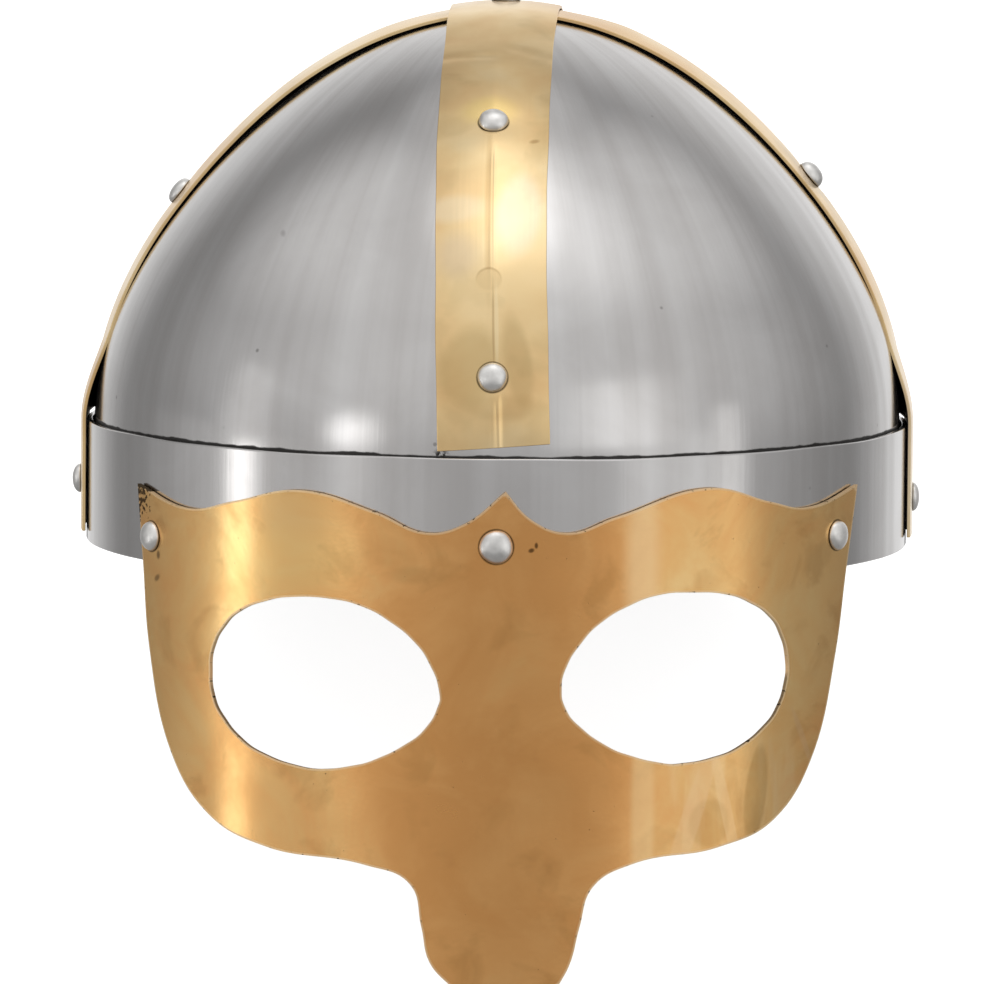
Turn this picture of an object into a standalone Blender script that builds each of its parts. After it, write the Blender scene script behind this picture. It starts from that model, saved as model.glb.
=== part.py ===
"""Spectacle helmet in five sheets of metal and twelve rivets, lying as it rests by itself.

A hollow steel skull stands in a steel brow band. Two brass straps cross on the crown, the long one
over the cross one, and a brass mask with two eye holes and a nose guard is bent round the front of
the band. Round-headed rivets go through clearance holes and end in a small button inside.

Every piece is modelled in the helmet's own frame: x to the viewer's right, y to the back of the
head, z up from the band's bottom edge. The empty that carries them all then leans the helmet back
until it lies on the tip of the nose guard and the back of the rim.
"""

import math
from collections import namedtuple

import bmesh
import bpy
import numpy as np
from mathutils import Matrix, Vector

# Steel band and skull, outside sizes in metres
BAND_HALF_WIDTH = 0.1050
BAND_HALF_LENGTH = 0.1180
BAND_HEIGHT = 0.0310
BAND_SHEET = 0.0015
SKULL_SHEET = 0.0012
SKULL_SLACK = 0.0016
SKULL_RISE = 0.1046
SKULL_RIM_ABOVE_BAND_RIM = 0.0015
SHOULDER_DRAW = 0.046
CROWN_SHIFT = 0.0014

# Brass straps
STRAP_WIDTH = 0.0277
STRAP_SHEET = 0.0009
LONG_RIDGE_RISE = 0.0012
LEFT_RIDGE_RISE = 0.0005
RIGHT_RIDGE_RISE = 0.0011
TOP_LEFT_BOW = 0.0006
RIDGE_LEFT_AT_ENDS = 0.2
RIDGE_FADE = math.radians(12)
BAND_STEP_RUN = math.radians(13)
LAP_RAMP = 0.0200
STRAP_END_ABOVE_RIM = 0.0025
FRONT_END_ABOVE_BAND = 0.0025
FRONT_END_SLANT = 0.0020
LONG_STRAP_SWAY = 0.0022

# Brass mask, measured along the sheet and from the band's bottom edge
MASK_SHEET = 0.0010
MASK_HALF_SPAN = 0.1105
MASK_RISE = 0.0230
MASK_DROP = 0.1000
EYE_OUTER_REACH = 0.0344
EYE_INNER_REACH = 0.0306
EYE_HALF_HEIGHT = 0.0213
EYE_DROOP = 0.0027
EYE_OUTER_FULLNESS = 2.3

# Rivets
HEAD_RADIUS = 0.0037
HEAD_RISE = 0.0025
SHANK_RADIUS = 0.0020
BUTTON_RADIUS = 0.0031
BUTTON_RISE = 0.0012

# Gaps between pieces
FIT_GAP = 0.0003
STRAP_GAP = 0.0004
HOLE_CLEARANCE = 0.0003

# Facets
SKULL_FACETS = 64
SKULL_RINGS = 12
STRAP_STEPS = 36
STRAP_COLUMNS = 5
BAND_STEPS = 3
OUTLINE_STEPS = 3
EYE_FACETS = 28
RIVET_FACETS = 12
HEAD_STEPS = 3

SKULL_HALF_WIDTH = BAND_HALF_WIDTH - BAND_SHEET - SKULL_SLACK
SKULL_HALF_LENGTH = BAND_HALF_LENGTH - BAND_SHEET - SKULL_SLACK
CROWN = math.pi / 2
# How far the middle of a facet lies inside the round surface that its corners are on
FACET_SAG = (
    SKULL_HALF_LENGTH * (1 - math.cos(math.pi / SKULL_FACETS))
    + SKULL_RISE * (1 - math.cos(CROWN / SKULL_RINGS / 2))
)

Strap = namedtuple(
    "Strap", "name lengthwise skull_reach band_reach half_across laps_band ridges lift sway"
)
Rivet = namedtuple("Rivet", "name seat out grip width height sheets")
Shape = namedtuple("Shape", "left_reach left_height right_reach right_height corner")

LONG_STRAP = Strap(
    "strap_front_to_back", True, SKULL_HALF_LENGTH, BAND_HALF_LENGTH, SKULL_HALF_WIDTH,
    (False, True), (LONG_RIDGE_RISE, LONG_RIDGE_RISE), STRAP_SHEET + FIT_GAP, LONG_STRAP_SWAY,
)
CROSS_STRAP = Strap(
    "strap_ear_to_ear", False, SKULL_HALF_WIDTH, BAND_HALF_WIDTH, SKULL_HALF_LENGTH,
    (True, True), (LEFT_RIDGE_RISE, RIGHT_RIDGE_RISE), 0.0, 0.0,
)

# Where a strap stands off the skull between two rivets: strap, start and end in degrees over the
# skull from its first end, height in shares of the top left bow
BOWS = (
    (CROSS_STRAP, 34, 80, 1.0),
    (CROSS_STRAP, 102, 142, 0.4),
    (LONG_STRAP, 14, 50, 0.4),
)

# Rivets over the skull: name, strap, degrees over the skull from the strap's first end, height of
# the hammered head in shares of a full one
SKULL_RIVETS = (
    ("rivet_front_lower", LONG_STRAP, 10.8, 1.00),
    ("rivet_front_upper", LONG_STRAP, 51.8, 1.00),
    ("rivet_crown", LONG_STRAP, 90.0, 1.00),
    ("rivet_back_upper", LONG_STRAP, 126.5, 1.00),
    ("rivet_left_upper", CROSS_STRAP, 34.4, 0.85),
    ("rivet_right_upper", CROSS_STRAP, 142.0, 1.20),
)

# Rivets through the band: name, strap, 0 for its first end or 1 for its last, share of band
# height, height of the head
BAND_RIVETS = (
    ("rivet_back_lower", LONG_STRAP, 1, 0.45, 1.00),
    ("rivet_left_lower", CROSS_STRAP, 0, 0.48, 0.80),
    ("rivet_right_lower", CROSS_STRAP, 1, 0.38, 0.65),
)

# Rivets through the mask: name, share of its half span, share of its rise, width and height of
# the head
MASK_RIVETS = (
    ("rivet_mask_left", -0.930, 0.29, 1.00, 0.85),
    ("rivet_mask_centre", 0.000, 0.41, 1.13, 1.00),
    ("rivet_mask_right", 0.913, 0.37, 1.00, 0.85),
)

# The mask's edge from the peak out to the corner, down the cheek and in to the nose: reach in
# shares of the half span, height in shares of the rise above the band's bottom edge or of the
# drop below it, and whether the edge turns a sharp corner there
MASK_EDGE = (
    Shape(0.020, 1.00, 0.020, 1.00, True),
    Shape(-0.075, 0.64, 0.078, 0.70, False),
    Shape(-0.155, 0.55, 0.155, 0.56, False),
    Shape(-0.270, 0.75, 0.270, 0.72, False),
    Shape(-0.455, 0.95, 0.500, 1.00, False),
    Shape(-0.640, 0.78, 0.675, 0.81, False),
    Shape(-0.780, 0.65, 0.790, 0.71, False),
    Shape(-0.995, 0.84, 1.005, 0.89, True),
    Shape(-0.968, 0.00, 0.957, 0.00, False),
    Shape(-0.938, -0.21, 0.913, -0.21, False),
    Shape(-0.850, -0.46, 0.826, -0.46, False),
    Shape(-0.712, -0.61, 0.694, -0.61, False),
    Shape(-0.540, -0.675, 0.530, -0.667, False),
    Shape(-0.285, -0.704, 0.310, -0.698, False),
    Shape(-0.187, -0.745, 0.223, -0.750, False),
    Shape(-0.160, -0.850, 0.193, -0.850, False),
    Shape(-0.140, -0.940, 0.172, -0.940, False),
    Shape(-0.090, -1.000, 0.145, -0.997, True),
)

# The eye holes' middles: side, share of the half span, share of the drop
EYES = (
    (-1, -0.400, -0.2575),
    (1, 0.424, -0.239),
)


def smooth(share):
    """Ease from 0 to 1, level at both ends."""
    share = np.clip(share, 0.0, 1.0)
    return share * share * (3 - 2 * share)


def drawn(up):
    """Share of the full oval that the skull keeps, from the sine of the way up to the crown."""
    return 1 - SHOULDER_DRAW * 4 * up**2 * (1 - up**2)


def crown_drift(height):
    """How far to the right the skull has gone at a height, on the way to its off-centre crown."""
    return CROWN_SHIFT * np.clip((height - BAND_HEIGHT) / SKULL_RISE, 0.0, 1.0)


def clear_scene():
    for thing in list(bpy.data.objects):
        bpy.data.objects.remove(thing, do_unlink=True)


def metal(name, colour, roughness):
    """Principled metal of one sRGB colour."""
    linear = [channel / 12.92 if channel <= 0.04045 else ((channel + 0.055) / 1.055) ** 2.4
              for channel in (int(colour[i:i + 2], 16) / 255 for i in (0, 2, 4))]
    material = bpy.data.materials.new(name)
    material.use_nodes = True
    shader = material.node_tree.nodes["Principled BSDF"]
    shader.inputs["Base Color"].default_value = (*linear, 1.0)
    shader.inputs["Metallic"].default_value = 1.0
    shader.inputs["Roughness"].default_value = roughness
    return material


def add_object(name, bm, material, frame):
    """Turn a bmesh into an object of the helmet."""
    mesh = bpy.data.meshes.new(name)
    bm.to_mesh(mesh)
    bm.free()
    piece = bpy.data.objects.new(name, mesh)
    bpy.context.scene.collection.objects.link(piece)
    piece.parent = frame
    if material:
        mesh.materials.append(material)
    return piece


def thicken(piece, sheet, outward):
    """Give a surface its wall, outward or inward from the drawn side."""
    wall = piece.modifiers.new("wall", "SOLIDIFY")
    wall.thickness = sheet
    wall.offset = 1.0 if outward else -1.0
    wall.use_even_offset = True


def face_outward(bm):
    """Turn an open sheet's faces away from the middle of the helmet."""
    bmesh.ops.recalc_face_normals(bm, faces=bm.faces)
    bm.normal_update()
    middle = Vector((0.0, 0.0, BAND_HEIGHT))
    facing = sum((f.calc_center_median() - middle).dot(f.normal) * f.calc_area() for f in bm.faces)
    if facing < 0:
        bmesh.ops.reverse_faces(bm, faces=bm.faces)


def spin_oval(profile, half_width, half_length):
    """Turn a profile of (share of the half width, height) round the z axis and stretch it oval.

    A facet, not an edge, lies at the front, the back and each ear.
    """
    bm = bmesh.new()
    turn = Matrix.Rotation(math.pi / SKULL_FACETS, 4, "Z")
    ring = [bm.verts.new(turn @ Vector((share, 0.0, height))) for share, height in profile]
    for lower, upper in zip(ring, ring[1:]):
        bm.edges.new((lower, upper))
    bmesh.ops.spin(
        bm, geom=bm.verts[:] + bm.edges[:], cent=(0, 0, 0), axis=(0, 0, 1),
        angle=2 * math.pi, steps=SKULL_FACETS, use_merge=True,
    )
    bmesh.ops.remove_doubles(bm, verts=bm.verts, dist=1e-6)
    bmesh.ops.scale(bm, vec=(half_width, half_length, 1.0), verts=bm.verts)
    face_outward(bm)
    return bm


def make_skull(material, frame):
    """Oval dome, drawn in at the shoulders, on a straight skirt that stands inside the band."""
    profile = [(1.0, SKULL_RIM_ABOVE_BAND_RIM)]
    for step in range(SKULL_RINGS + 1):
        rise = CROWN * step / SKULL_RINGS
        kept = drawn(math.sin(rise))
        share = 0.0 if step == SKULL_RINGS else math.cos(rise) * kept
        profile.append((share, BAND_HEIGHT + SKULL_RISE * math.sin(rise) * kept))
    bm = spin_oval(profile, SKULL_HALF_WIDTH, SKULL_HALF_LENGTH)
    for vert in bm.verts:
        vert.co.x += crown_drift(vert.co.z)
    skull = add_object("skull", bm, material, frame)
    thicken(skull, SKULL_SHEET, outward=False)
    return skull


def make_band(material, frame):
    """Straight oval hoop round the foot of the skull."""
    bm = spin_oval([(1.0, 0.0), (1.0, BAND_HEIGHT)], BAND_HALF_WIDTH, BAND_HALF_LENGTH)
    band = add_object("brow_band", bm, material, frame)
    thicken(band, BAND_SHEET, outward=False)
    return band


def ridge_height(strap, rise):
    """Height of a strap's middle crease: low at the ends and flat where the straps cross."""
    full = np.where(rise < CROWN, *strap.ridges)
    from_end = np.minimum(rise, math.pi - rise)
    along = RIDGE_LEFT_AT_ENDS + (1 - RIDGE_LEFT_AT_ENDS) * smooth(from_end / RIDGE_FADE)
    from_crown = SKULL_RISE * np.abs(rise - CROWN)
    return full * along * smooth((from_crown - STRAP_WIDTH / 2) / LAP_RAMP)


def strap_point(strap, rise, drop, across, out):
    """Point of a strap that stands `out` above its own underside.

    rise goes from 0 over the crown to pi, and drop is the way down the band from its top edge.
    The underside follows the skull, steps out over the band, crests at the crease and is lifted
    where the strap crosses over the other.
    """
    first, last = strap.laps_band
    near_first = 1 - smooth(rise / BAND_STEP_RUN)
    near_last = 1 - smooth((math.pi - rise) / BAND_STEP_RUN)
    step = (strap.band_reach - strap.skull_reach) * (first * near_first + last * near_last)
    from_crown = SKULL_RISE * np.abs(rise - CROWN)
    lap = strap.lift * (1 - smooth((from_crown - STRAP_WIDTH / 2) / LAP_RAMP))
    bow = sum(
        height * TOP_LEFT_BOW
        * np.sin(math.pi * np.clip((np.degrees(rise) - start) / (end - start), 0, 1)) ** 2
        for bowed, start, end, height in BOWS if bowed is strap
    )
    crease = ridge_height(strap, rise) * (1 - np.abs(across) / (STRAP_WIDTH / 2))
    above = STRAP_GAP + lap + bow + crease + out
    side = across - strap.sway * (np.sin(2 * rise) + np.cos(rise) / 3)
    aside = side / (strap.half_across + above)
    kept = drawn(np.sin(rise) * np.sqrt(1 - aside**2))
    middle = np.sqrt(1 - (aside / kept) ** 2)
    kept = drawn(np.sin(rise) * middle)
    reach = -(strap.skull_reach + step + above) * np.cos(rise) * kept * middle
    height = BAND_HEIGHT - drop + (SKULL_RISE + above) * np.sin(rise) * kept * middle
    x, y = (side, reach) if strap.lengthwise else (reach, side)
    return np.stack([x + crown_drift(height), y, height], axis=-1)


def make_strap(strap, material, frame):
    """Creased brass strap over the skull, as a grid of stations by columns with a wall."""
    end_rise = FRONT_END_ABOVE_BAND / SKULL_RISE
    rises = np.linspace(0.0, math.pi, STRAP_STEPS + 1)
    drops = np.zeros(STRAP_STEPS + 1)
    down = np.linspace(0.0, BAND_HEIGHT - STRAP_END_ABOVE_RIM, BAND_STEPS + 1)[1:]
    if strap.laps_band[0]:
        rises = np.concatenate([np.zeros(BAND_STEPS), rises])
        drops = np.concatenate([down[::-1], drops])
    else:
        rises[0] = end_rise
    if strap.laps_band[1]:
        rises = np.concatenate([rises, np.full(BAND_STEPS, math.pi)])
        drops = np.concatenate([drops, down])
    across = np.linspace(-STRAP_WIDTH / 2, STRAP_WIDTH / 2, STRAP_COLUMNS)
    rise, column = np.meshgrid(rises, across, indexing="ij")
    if not strap.laps_band[0]:
        rise[0] += FRONT_END_SLANT / SKULL_RISE * across / STRAP_WIDTH
    drop = np.repeat(drops[:, None], STRAP_COLUMNS, axis=1)
    points = strap_point(strap, rise, drop, column, 0.0)
    bm = bmesh.new()
    rows = [[bm.verts.new(point) for point in row] for row in points]
    for near, far in zip(rows, rows[1:]):
        for i in range(STRAP_COLUMNS - 1):
            bm.faces.new((near[i], near[i + 1], far[i + 1], far[i]))
    face_outward(bm)
    piece = add_object(strap.name, bm, material, frame)
    thicken(piece, STRAP_SHEET, outward=True)
    return piece


def wrap(along, height, out):
    """Bend the mask's flat pattern round the band's facets, `out` off them.

    Way along the sheet becomes way along the facets from the middle of the front.
    """
    turn = math.pi * (2 * np.arange(SKULL_FACETS // 2 + 1) - SKULL_FACETS // 2) / SKULL_FACETS
    turn = turn + math.pi / SKULL_FACETS
    corner_x = (BAND_HALF_WIDTH + out) * np.sin(turn)
    corner_y = -(BAND_HALF_LENGTH + out) * np.cos(turn)
    way = np.concatenate([[0.0], np.cumsum(np.hypot(np.diff(corner_x), np.diff(corner_y)))])
    way -= np.interp(0.0, corner_x[:-1], way[:-1])
    x = np.interp(along, way, corner_x)
    y = np.interp(along, way, corner_y)
    return np.stack([x, y, height], axis=-1), way


def mask_height(share):
    return share * (MASK_RISE if share > 0 else MASK_DROP)


def eye_outline(side, reach, height):
    """Oval, blunt above its outer end and with a drooping inner one, anticlockwise."""
    middle = (reach * MASK_HALF_SPAN, mask_height(height))
    points = []
    for step in range(EYE_FACETS):
        turn = 2 * math.pi * step / EYE_FACETS
        outward, up = math.cos(turn), math.sin(turn)
        power = 2 / EYE_OUTER_FULLNESS if outward > 0 and up > 0 else 1.0
        out = math.copysign(abs(outward) ** power, outward)
        rise = math.copysign(abs(up) ** power, up) * EYE_HALF_HEIGHT
        if outward < 0:
            rise -= EYE_DROOP * out * out
        width = EYE_OUTER_REACH if outward > 0 else EYE_INNER_REACH
        points.append((middle[0] + side * width * out, middle[1] + rise))
    return points


def mask_pattern():
    """Flat pattern of the mask with its eye holes, as a filled curve made into a mesh."""
    right = [(row.right_reach, row.right_height, row.corner) for row in MASK_EDGE]
    left = [(row.left_reach, row.left_height, row.corner) for row in MASK_EDGE[:0:-1]]
    curve = bpy.data.curves.new("mask_pattern", "CURVE")
    curve.dimensions = "2D"
    curve.fill_mode = "BOTH"
    curve.resolution_u = OUTLINE_STEPS
    edge = curve.splines.new("BEZIER")
    edge.use_cyclic_u = True
    edge.bezier_points.add(len(right) + len(left) - 1)
    for point, (reach, height, corner) in zip(edge.bezier_points, right + left):
        point.co = (reach * MASK_HALF_SPAN, mask_height(height), 0.0)
        point.handle_left_type = point.handle_right_type = "VECTOR" if corner else "AUTO"
    for side, reach, height in EYES:
        hole = curve.splines.new("POLY")
        hole.use_cyclic_u = True
        outline = eye_outline(side, reach, height)
        hole.points.add(len(outline) - 1)
        for point, (x, y) in zip(hole.points, outline):
            point.co = (x, y, 0.0, 1.0)
    holder = bpy.data.objects.new("mask_pattern", curve)
    bpy.context.scene.collection.objects.link(holder)
    bpy.context.view_layer.update()
    flat = bpy.data.meshes.new_from_object(holder.evaluated_get(bpy.context.evaluated_depsgraph_get()))
    bpy.data.objects.remove(holder)
    bm = bmesh.new()
    bm.from_mesh(flat)
    bpy.data.meshes.remove(flat)
    bmesh.ops.remove_doubles(bm, verts=bm.verts, dist=1e-6)
    return bm


def make_mask(material, frame):
    """Brass mask: the flat pattern is scored where the band's facets meet, then bent and walled."""
    bm = mask_pattern()
    scores = wrap(0.0, 0.0, FIT_GAP)[1]
    for score in scores[np.abs(scores) < MASK_HALF_SPAN * 1.1]:
        bmesh.ops.bisect_plane(
            bm, geom=bm.verts[:] + bm.edges[:] + bm.faces[:], dist=1e-6,
            plane_co=(score, 0, 0), plane_no=(1, 0, 0),
        )
    for vert in bm.verts:
        vert.co = wrap(vert.co.x, vert.co.y, FIT_GAP)[0]
    face_outward(bm)
    mask = add_object("mask", bm, material, frame)
    thicken(mask, MASK_SHEET, outward=True)
    return mask


def strap_seat(strap, rise, drop):
    """Top of a strap's crease, and the way straight out of it."""
    here = strap_point(strap, rise, drop, 0.0, STRAP_SHEET)
    if drop > 0:
        out = np.array([0.0, -math.cos(rise), 0.0] if strap.lengthwise else [-math.cos(rise), 0.0, 0.0])
    else:
        step = 1e-4
        along = strap_point(strap, rise + step, 0.0, 0.0, STRAP_SHEET) - here
        side = np.array([1.0, 0.0, 0.0] if strap.lengthwise else [0.0, -1.0, 0.0])
        out = np.cross(side, along)
    return Vector(here), Vector(out).normalized()


def plan_rivets():
    """Seat, direction, grip and sheets of every rivet."""
    rivets = []
    for name, strap, degrees, height in SKULL_RIVETS:
        rise = math.radians(degrees)
        seat, out = strap_seat(strap, rise, 0.0)
        under = Vector(strap_point(strap, rise, 0.0, 0.0, 0.0))
        on_skull = skull_below(strap, rise)
        grip = STRAP_SHEET + (under - on_skull).dot(out) + SKULL_SHEET
        sheets = ["skull", strap.name]
        if strap is LONG_STRAP and degrees == 90.0:
            sheets.append(CROSS_STRAP.name)
        rivets.append(Rivet(name, seat, out, grip, 1.0, height, sheets))
    for name, strap, end, share, height in BAND_RIVETS:
        seat, out = strap_seat(strap, math.pi * end, BAND_HEIGHT * (1 - share))
        inside = strap.skull_reach - SKULL_SHEET
        grip = abs(seat.dot(out)) - inside
        sheets = ["skull", "brow_band", strap.name]
        rivets.append(Rivet(name, seat, out, grip, 1.0, height, sheets))
    for name, reach, rise, width, height in MASK_RIVETS:
        along, up = reach * MASK_HALF_SPAN, mask_height(rise)
        near, far = (Vector(wrap(along + nudge, up, FIT_GAP)[0]) for nudge in (-1e-4, 1e-4))
        out = Vector((0, 0, 1)).cross(near - far).normalized()
        seat = (near + far) / 2 + out * MASK_SHEET
        grip = MASK_SHEET + FIT_GAP + BAND_SHEET + SKULL_SLACK + SKULL_SHEET
        rivets.append(Rivet(name, seat, out, grip, width, height, ["skull", "brow_band", "mask"]))
    return rivets


def skull_below(strap, rise):
    """Skull surface under the middle of a strap."""
    kept = drawn(math.sin(rise))
    reach = -strap.skull_reach * math.cos(rise) * kept
    height = BAND_HEIGHT + SKULL_RISE * math.sin(rise) * kept
    x, y = (0.0, reach) if strap.lengthwise else (reach, 0.0)
    return Vector((x + crown_drift(height), y, height))


def make_rivet(rivet, material, frame):
    """Domed head, shank and inner button as one turned profile."""
    foot = -(rivet.grip + FACET_SAG + 2 * FIT_GAP)
    radius, rise = HEAD_RADIUS * rivet.width, HEAD_RISE * rivet.height
    profile = [
        (radius * math.cos(turn), rise * math.sin(turn))
        for turn in np.linspace(CROWN, 0.0, HEAD_STEPS + 1)
    ]
    profile[0] = (0.0, rise)
    profile += [
        (SHANK_RADIUS, 0.0),
        (SHANK_RADIUS, foot),
        (BUTTON_RADIUS, foot),
        (BUTTON_RADIUS * 0.8, foot - BUTTON_RISE),
        (0.0, foot - BUTTON_RISE),
    ]
    bm = bmesh.new()
    chain = [bm.verts.new((radius, 0.0, height)) for radius, height in profile]
    for upper, lower in zip(chain, chain[1:]):
        bm.edges.new((upper, lower))
    piece = add_object(rivet.name, bm, material, frame)
    lathe = piece.modifiers.new("turned", "SCREW")
    lathe.steps = lathe.render_steps = RIVET_FACETS
    lathe.use_merge_vertices = True
    lathe.merge_threshold = 1e-6
    piece.location = rivet.seat + rivet.out * FIT_GAP
    piece.rotation_euler = rivet.out.to_track_quat("Z", "Y").to_euler()
    return piece


def drill(sheet, rivets, frame):
    """Cut a clearance hole for each rivet that goes through a sheet."""
    bm = bmesh.new()
    for rivet in rivets:
        depth = rivet.grip + 4 * HEAD_RISE
        middle = rivet.seat - rivet.out * rivet.grip / 2
        place = Matrix.Translation(middle) @ rivet.out.to_track_quat("Z", "Y").to_matrix().to_4x4()
        bmesh.ops.create_cone(
            bm, cap_ends=True, segments=RIVET_FACETS, matrix=place, depth=depth,
            radius1=SHANK_RADIUS + HOLE_CLEARANCE, radius2=SHANK_RADIUS + HOLE_CLEARANCE,
        )
    cutter = add_object(sheet.name + "_drill", bm, None, frame)
    cutter.hide_render = True
    cutter.display_type = "WIRE"
    holes = sheet.modifiers.new("rivet holes", "BOOLEAN")
    holes.operation = "DIFFERENCE"
    holes.solver = "EXACT"
    holes.object = cutter


def points_of(pieces):
    """Points of the finished pieces in the helmet's own frame."""
    bpy.context.view_layer.update()
    graph = bpy.context.evaluated_depsgraph_get()
    found = []
    for piece in pieces:
        mesh = piece.evaluated_get(graph).to_mesh()
        place = piece.matrix_local
        found += [place @ vert.co for vert in mesh.vertices]
    return np.array(found)


def lay_down(pieces, frame):
    """Lean the helmet back until nose and rim lie on one level, and stand it on the origin."""
    points = points_of(pieces)
    lean = 0.0
    for _ in range(4):
        y = points[:, 1] * math.cos(lean) - points[:, 2] * math.sin(lean)
        z = points[:, 1] * math.sin(lean) + points[:, 2] * math.cos(lean)
        nose = np.argmin(np.where(y < 0, z, np.inf))
        rim = np.argmin(np.where(y > 0, z, np.inf))
        lean -= math.atan2(z[rim] - z[nose], y[rim] - y[nose])
    turn = Matrix.Rotation(lean, 3, "X")
    laid = points @ np.array(turn).T
    low, high = laid.min(axis=0), laid.max(axis=0)
    frame.rotation_euler = (lean, 0.0, 0.0)
    frame.location = (-(low[0] + high[0]) / 2, -(low[1] + high[1]) / 2, -low[2])


def main():
    clear_scene()
    frame = bpy.data.objects.new("helmet", None)
    bpy.context.scene.collection.objects.link(frame)
    steel = metal("polished_steel", "8E8D8C", 0.28)
    strap_brass = metal("strap_brass", "D9B878", 0.30)
    mask_brass = metal("mask_brass", "B98F55", 0.34)
    rivet_steel = metal("rivet_steel", "C9C9C6", 0.25)

    sheets = {
        "skull": make_skull(steel, frame),
        "brow_band": make_band(steel, frame),
        LONG_STRAP.name: make_strap(LONG_STRAP, strap_brass, frame),
        CROSS_STRAP.name: make_strap(CROSS_STRAP, strap_brass, frame),
        "mask": make_mask(mask_brass, frame),
    }
    rivets = plan_rivets()
    for name, sheet in sheets.items():
        drill(sheet, [rivet for rivet in rivets if name in rivet.sheets], frame)
    pieces = list(sheets.values())
    pieces += [make_rivet(rivet, rivet_steel, frame) for rivet in rivets]
    lay_down(pieces, frame)


main()
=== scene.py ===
"""Spectacle helmet, dressed: polished steel skull and band, satin brass straps and mask, rivets.

Each piece is worked out again from the sizes of its solid, as a fine smooth surface in the helmet's
own frame: x to the viewer's right, y to the back of the head, z up from the band's bottom edge. The
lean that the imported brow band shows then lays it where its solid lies. Lengths are in metres.
"""

import math
from collections import namedtuple

import bmesh
import bpy
import numpy as np
from mathutils import Matrix, Vector
from mathutils.geometry import delaunay_2d_cdt


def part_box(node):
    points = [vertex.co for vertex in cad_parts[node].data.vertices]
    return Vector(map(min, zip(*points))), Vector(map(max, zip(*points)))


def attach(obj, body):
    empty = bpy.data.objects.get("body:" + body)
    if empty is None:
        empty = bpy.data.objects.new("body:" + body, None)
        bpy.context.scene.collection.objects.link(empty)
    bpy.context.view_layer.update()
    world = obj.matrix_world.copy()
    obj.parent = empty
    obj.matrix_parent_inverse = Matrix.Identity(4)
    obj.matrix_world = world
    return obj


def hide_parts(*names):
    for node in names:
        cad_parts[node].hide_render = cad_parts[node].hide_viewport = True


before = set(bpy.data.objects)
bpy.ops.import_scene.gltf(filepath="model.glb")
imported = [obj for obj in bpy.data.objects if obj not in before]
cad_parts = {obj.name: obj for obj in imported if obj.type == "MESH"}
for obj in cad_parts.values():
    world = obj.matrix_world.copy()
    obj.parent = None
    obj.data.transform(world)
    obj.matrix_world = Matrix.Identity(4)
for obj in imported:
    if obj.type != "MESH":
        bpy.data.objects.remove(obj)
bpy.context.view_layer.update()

# Steel band and skull
BAND_HALF_WIDTH = 0.1050
BAND_HALF_LENGTH = 0.1180
BAND_HEIGHT = 0.0310
BAND_SHEET = 0.0015
SKULL_SHEET = 0.0012
SKULL_SLACK = 0.0016
SKULL_RISE = 0.1046
SKULL_RIM_ABOVE_BAND_RIM = 0.0015
SHOULDER_DRAW = 0.046
CROWN_SHIFT = 0.0014
SKULL_FOOT_SWELL = 0.0010
SMOOTH_OVAL = 0.9988
SKULL_HALF_WIDTH = BAND_HALF_WIDTH - BAND_SHEET - SKULL_SLACK
SKULL_HALF_LENGTH = BAND_HALF_LENGTH - BAND_SHEET - SKULL_SLACK

# Brass straps
STRAP_WIDTH = 0.0277
STRAP_SHEET = 0.0009
LONG_RIDGE_RISE = 0.0012
LEFT_RIDGE_RISE = 0.0005
RIGHT_RIDGE_RISE = 0.0011
TOP_LEFT_BOW = 0.0006
CREASE_ROUNDING = 0.0006
BAND_STEP_RUN = math.radians(13)
LAP_RAMP = 0.0200
STRAP_END_ABOVE_RIM = 0.0025
FRONT_END_ABOVE_BAND = 0.0025
FRONT_END_SLANT = 0.0020
LONG_STRAP_SWAY = 0.0022

# The long strap's scored line and its bead, in degrees over the skull and in metres
SCORED_FROM, SCORED_TO = 14.0, 44.0
BEAD_TO = 7.5
SCORED_DEPTH = 0.00009
BEAD_HEIGHT = 0.00032
GROOVE_DEPTH = 0.00012

# Brass mask, measured along the sheet and from the band's bottom edge
MASK_SHEET = 0.0010
MASK_HALF_SPAN = 0.1105
MASK_RISE = 0.0230
MASK_DROP = 0.1000
EYE_OUTER_REACH = 0.0344
EYE_INNER_REACH = 0.0306
EYE_HALF_HEIGHT = 0.0213
EYE_DROOP = 0.0027
EYE_OUTER_FULLNESS = 2.3
EYE_INNER_LOWER_FULLNESS = 1.7
MASK_CELL = 0.0013

# Rivets
HEAD_RADIUS = 0.0037
HEAD_RISE = 0.0025
SHANK_RADIUS = 0.0020
BUTTON_RADIUS = 0.0031
BUTTON_RISE = 0.0012

# Gaps between pieces, and how far their edges are eased
FIT_GAP = 0.0003
STRAP_GAP = 0.0004
EDGE_ROUNDING = 0.00018
BAND_ROUNDING = 0.00040
CROWN = math.pi / 2

# Painted shade: how far its dark line climbs above the band where its noise is 1, how wide its dark
# ring round a rivet's head is, and how far from the middle plane the ear-to-ear strap covers the steel
# painted dark beneath it
SEAM_SHADE_RISE = 0.0017
RING_WIDTH = 0.0003
COVERED_FROM, COVERED_TO = 0.0124, 0.0134

# The middle of the head's space, in the helmet's own frame
HEAD_MIDDLE = (0.0, 0.0, 0.05)

# The two colour inputs and the colour output of a Mix node
FROM_COLOUR, TO_COLOUR, MIXED = 6, 7, 2

# The camera that the photograph was taken with, in the helmet's own frame
CAMERA_DISTANCE = 3.0
CAMERA_ELEVATION = math.radians(5.26)
CAMERA_ROLL = math.radians(0.47)
CAMERA_AIM = (-0.00113, 0.0, 0.01205)
CAMERA_LENS_MM = 428.6
SENSOR_WIDTH_MM = 36.0

# The ear-to-ear strap's ways along count from here, so that each strap has marks of its own
CROSS_STRAP_SHEET_START = 1.0

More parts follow.
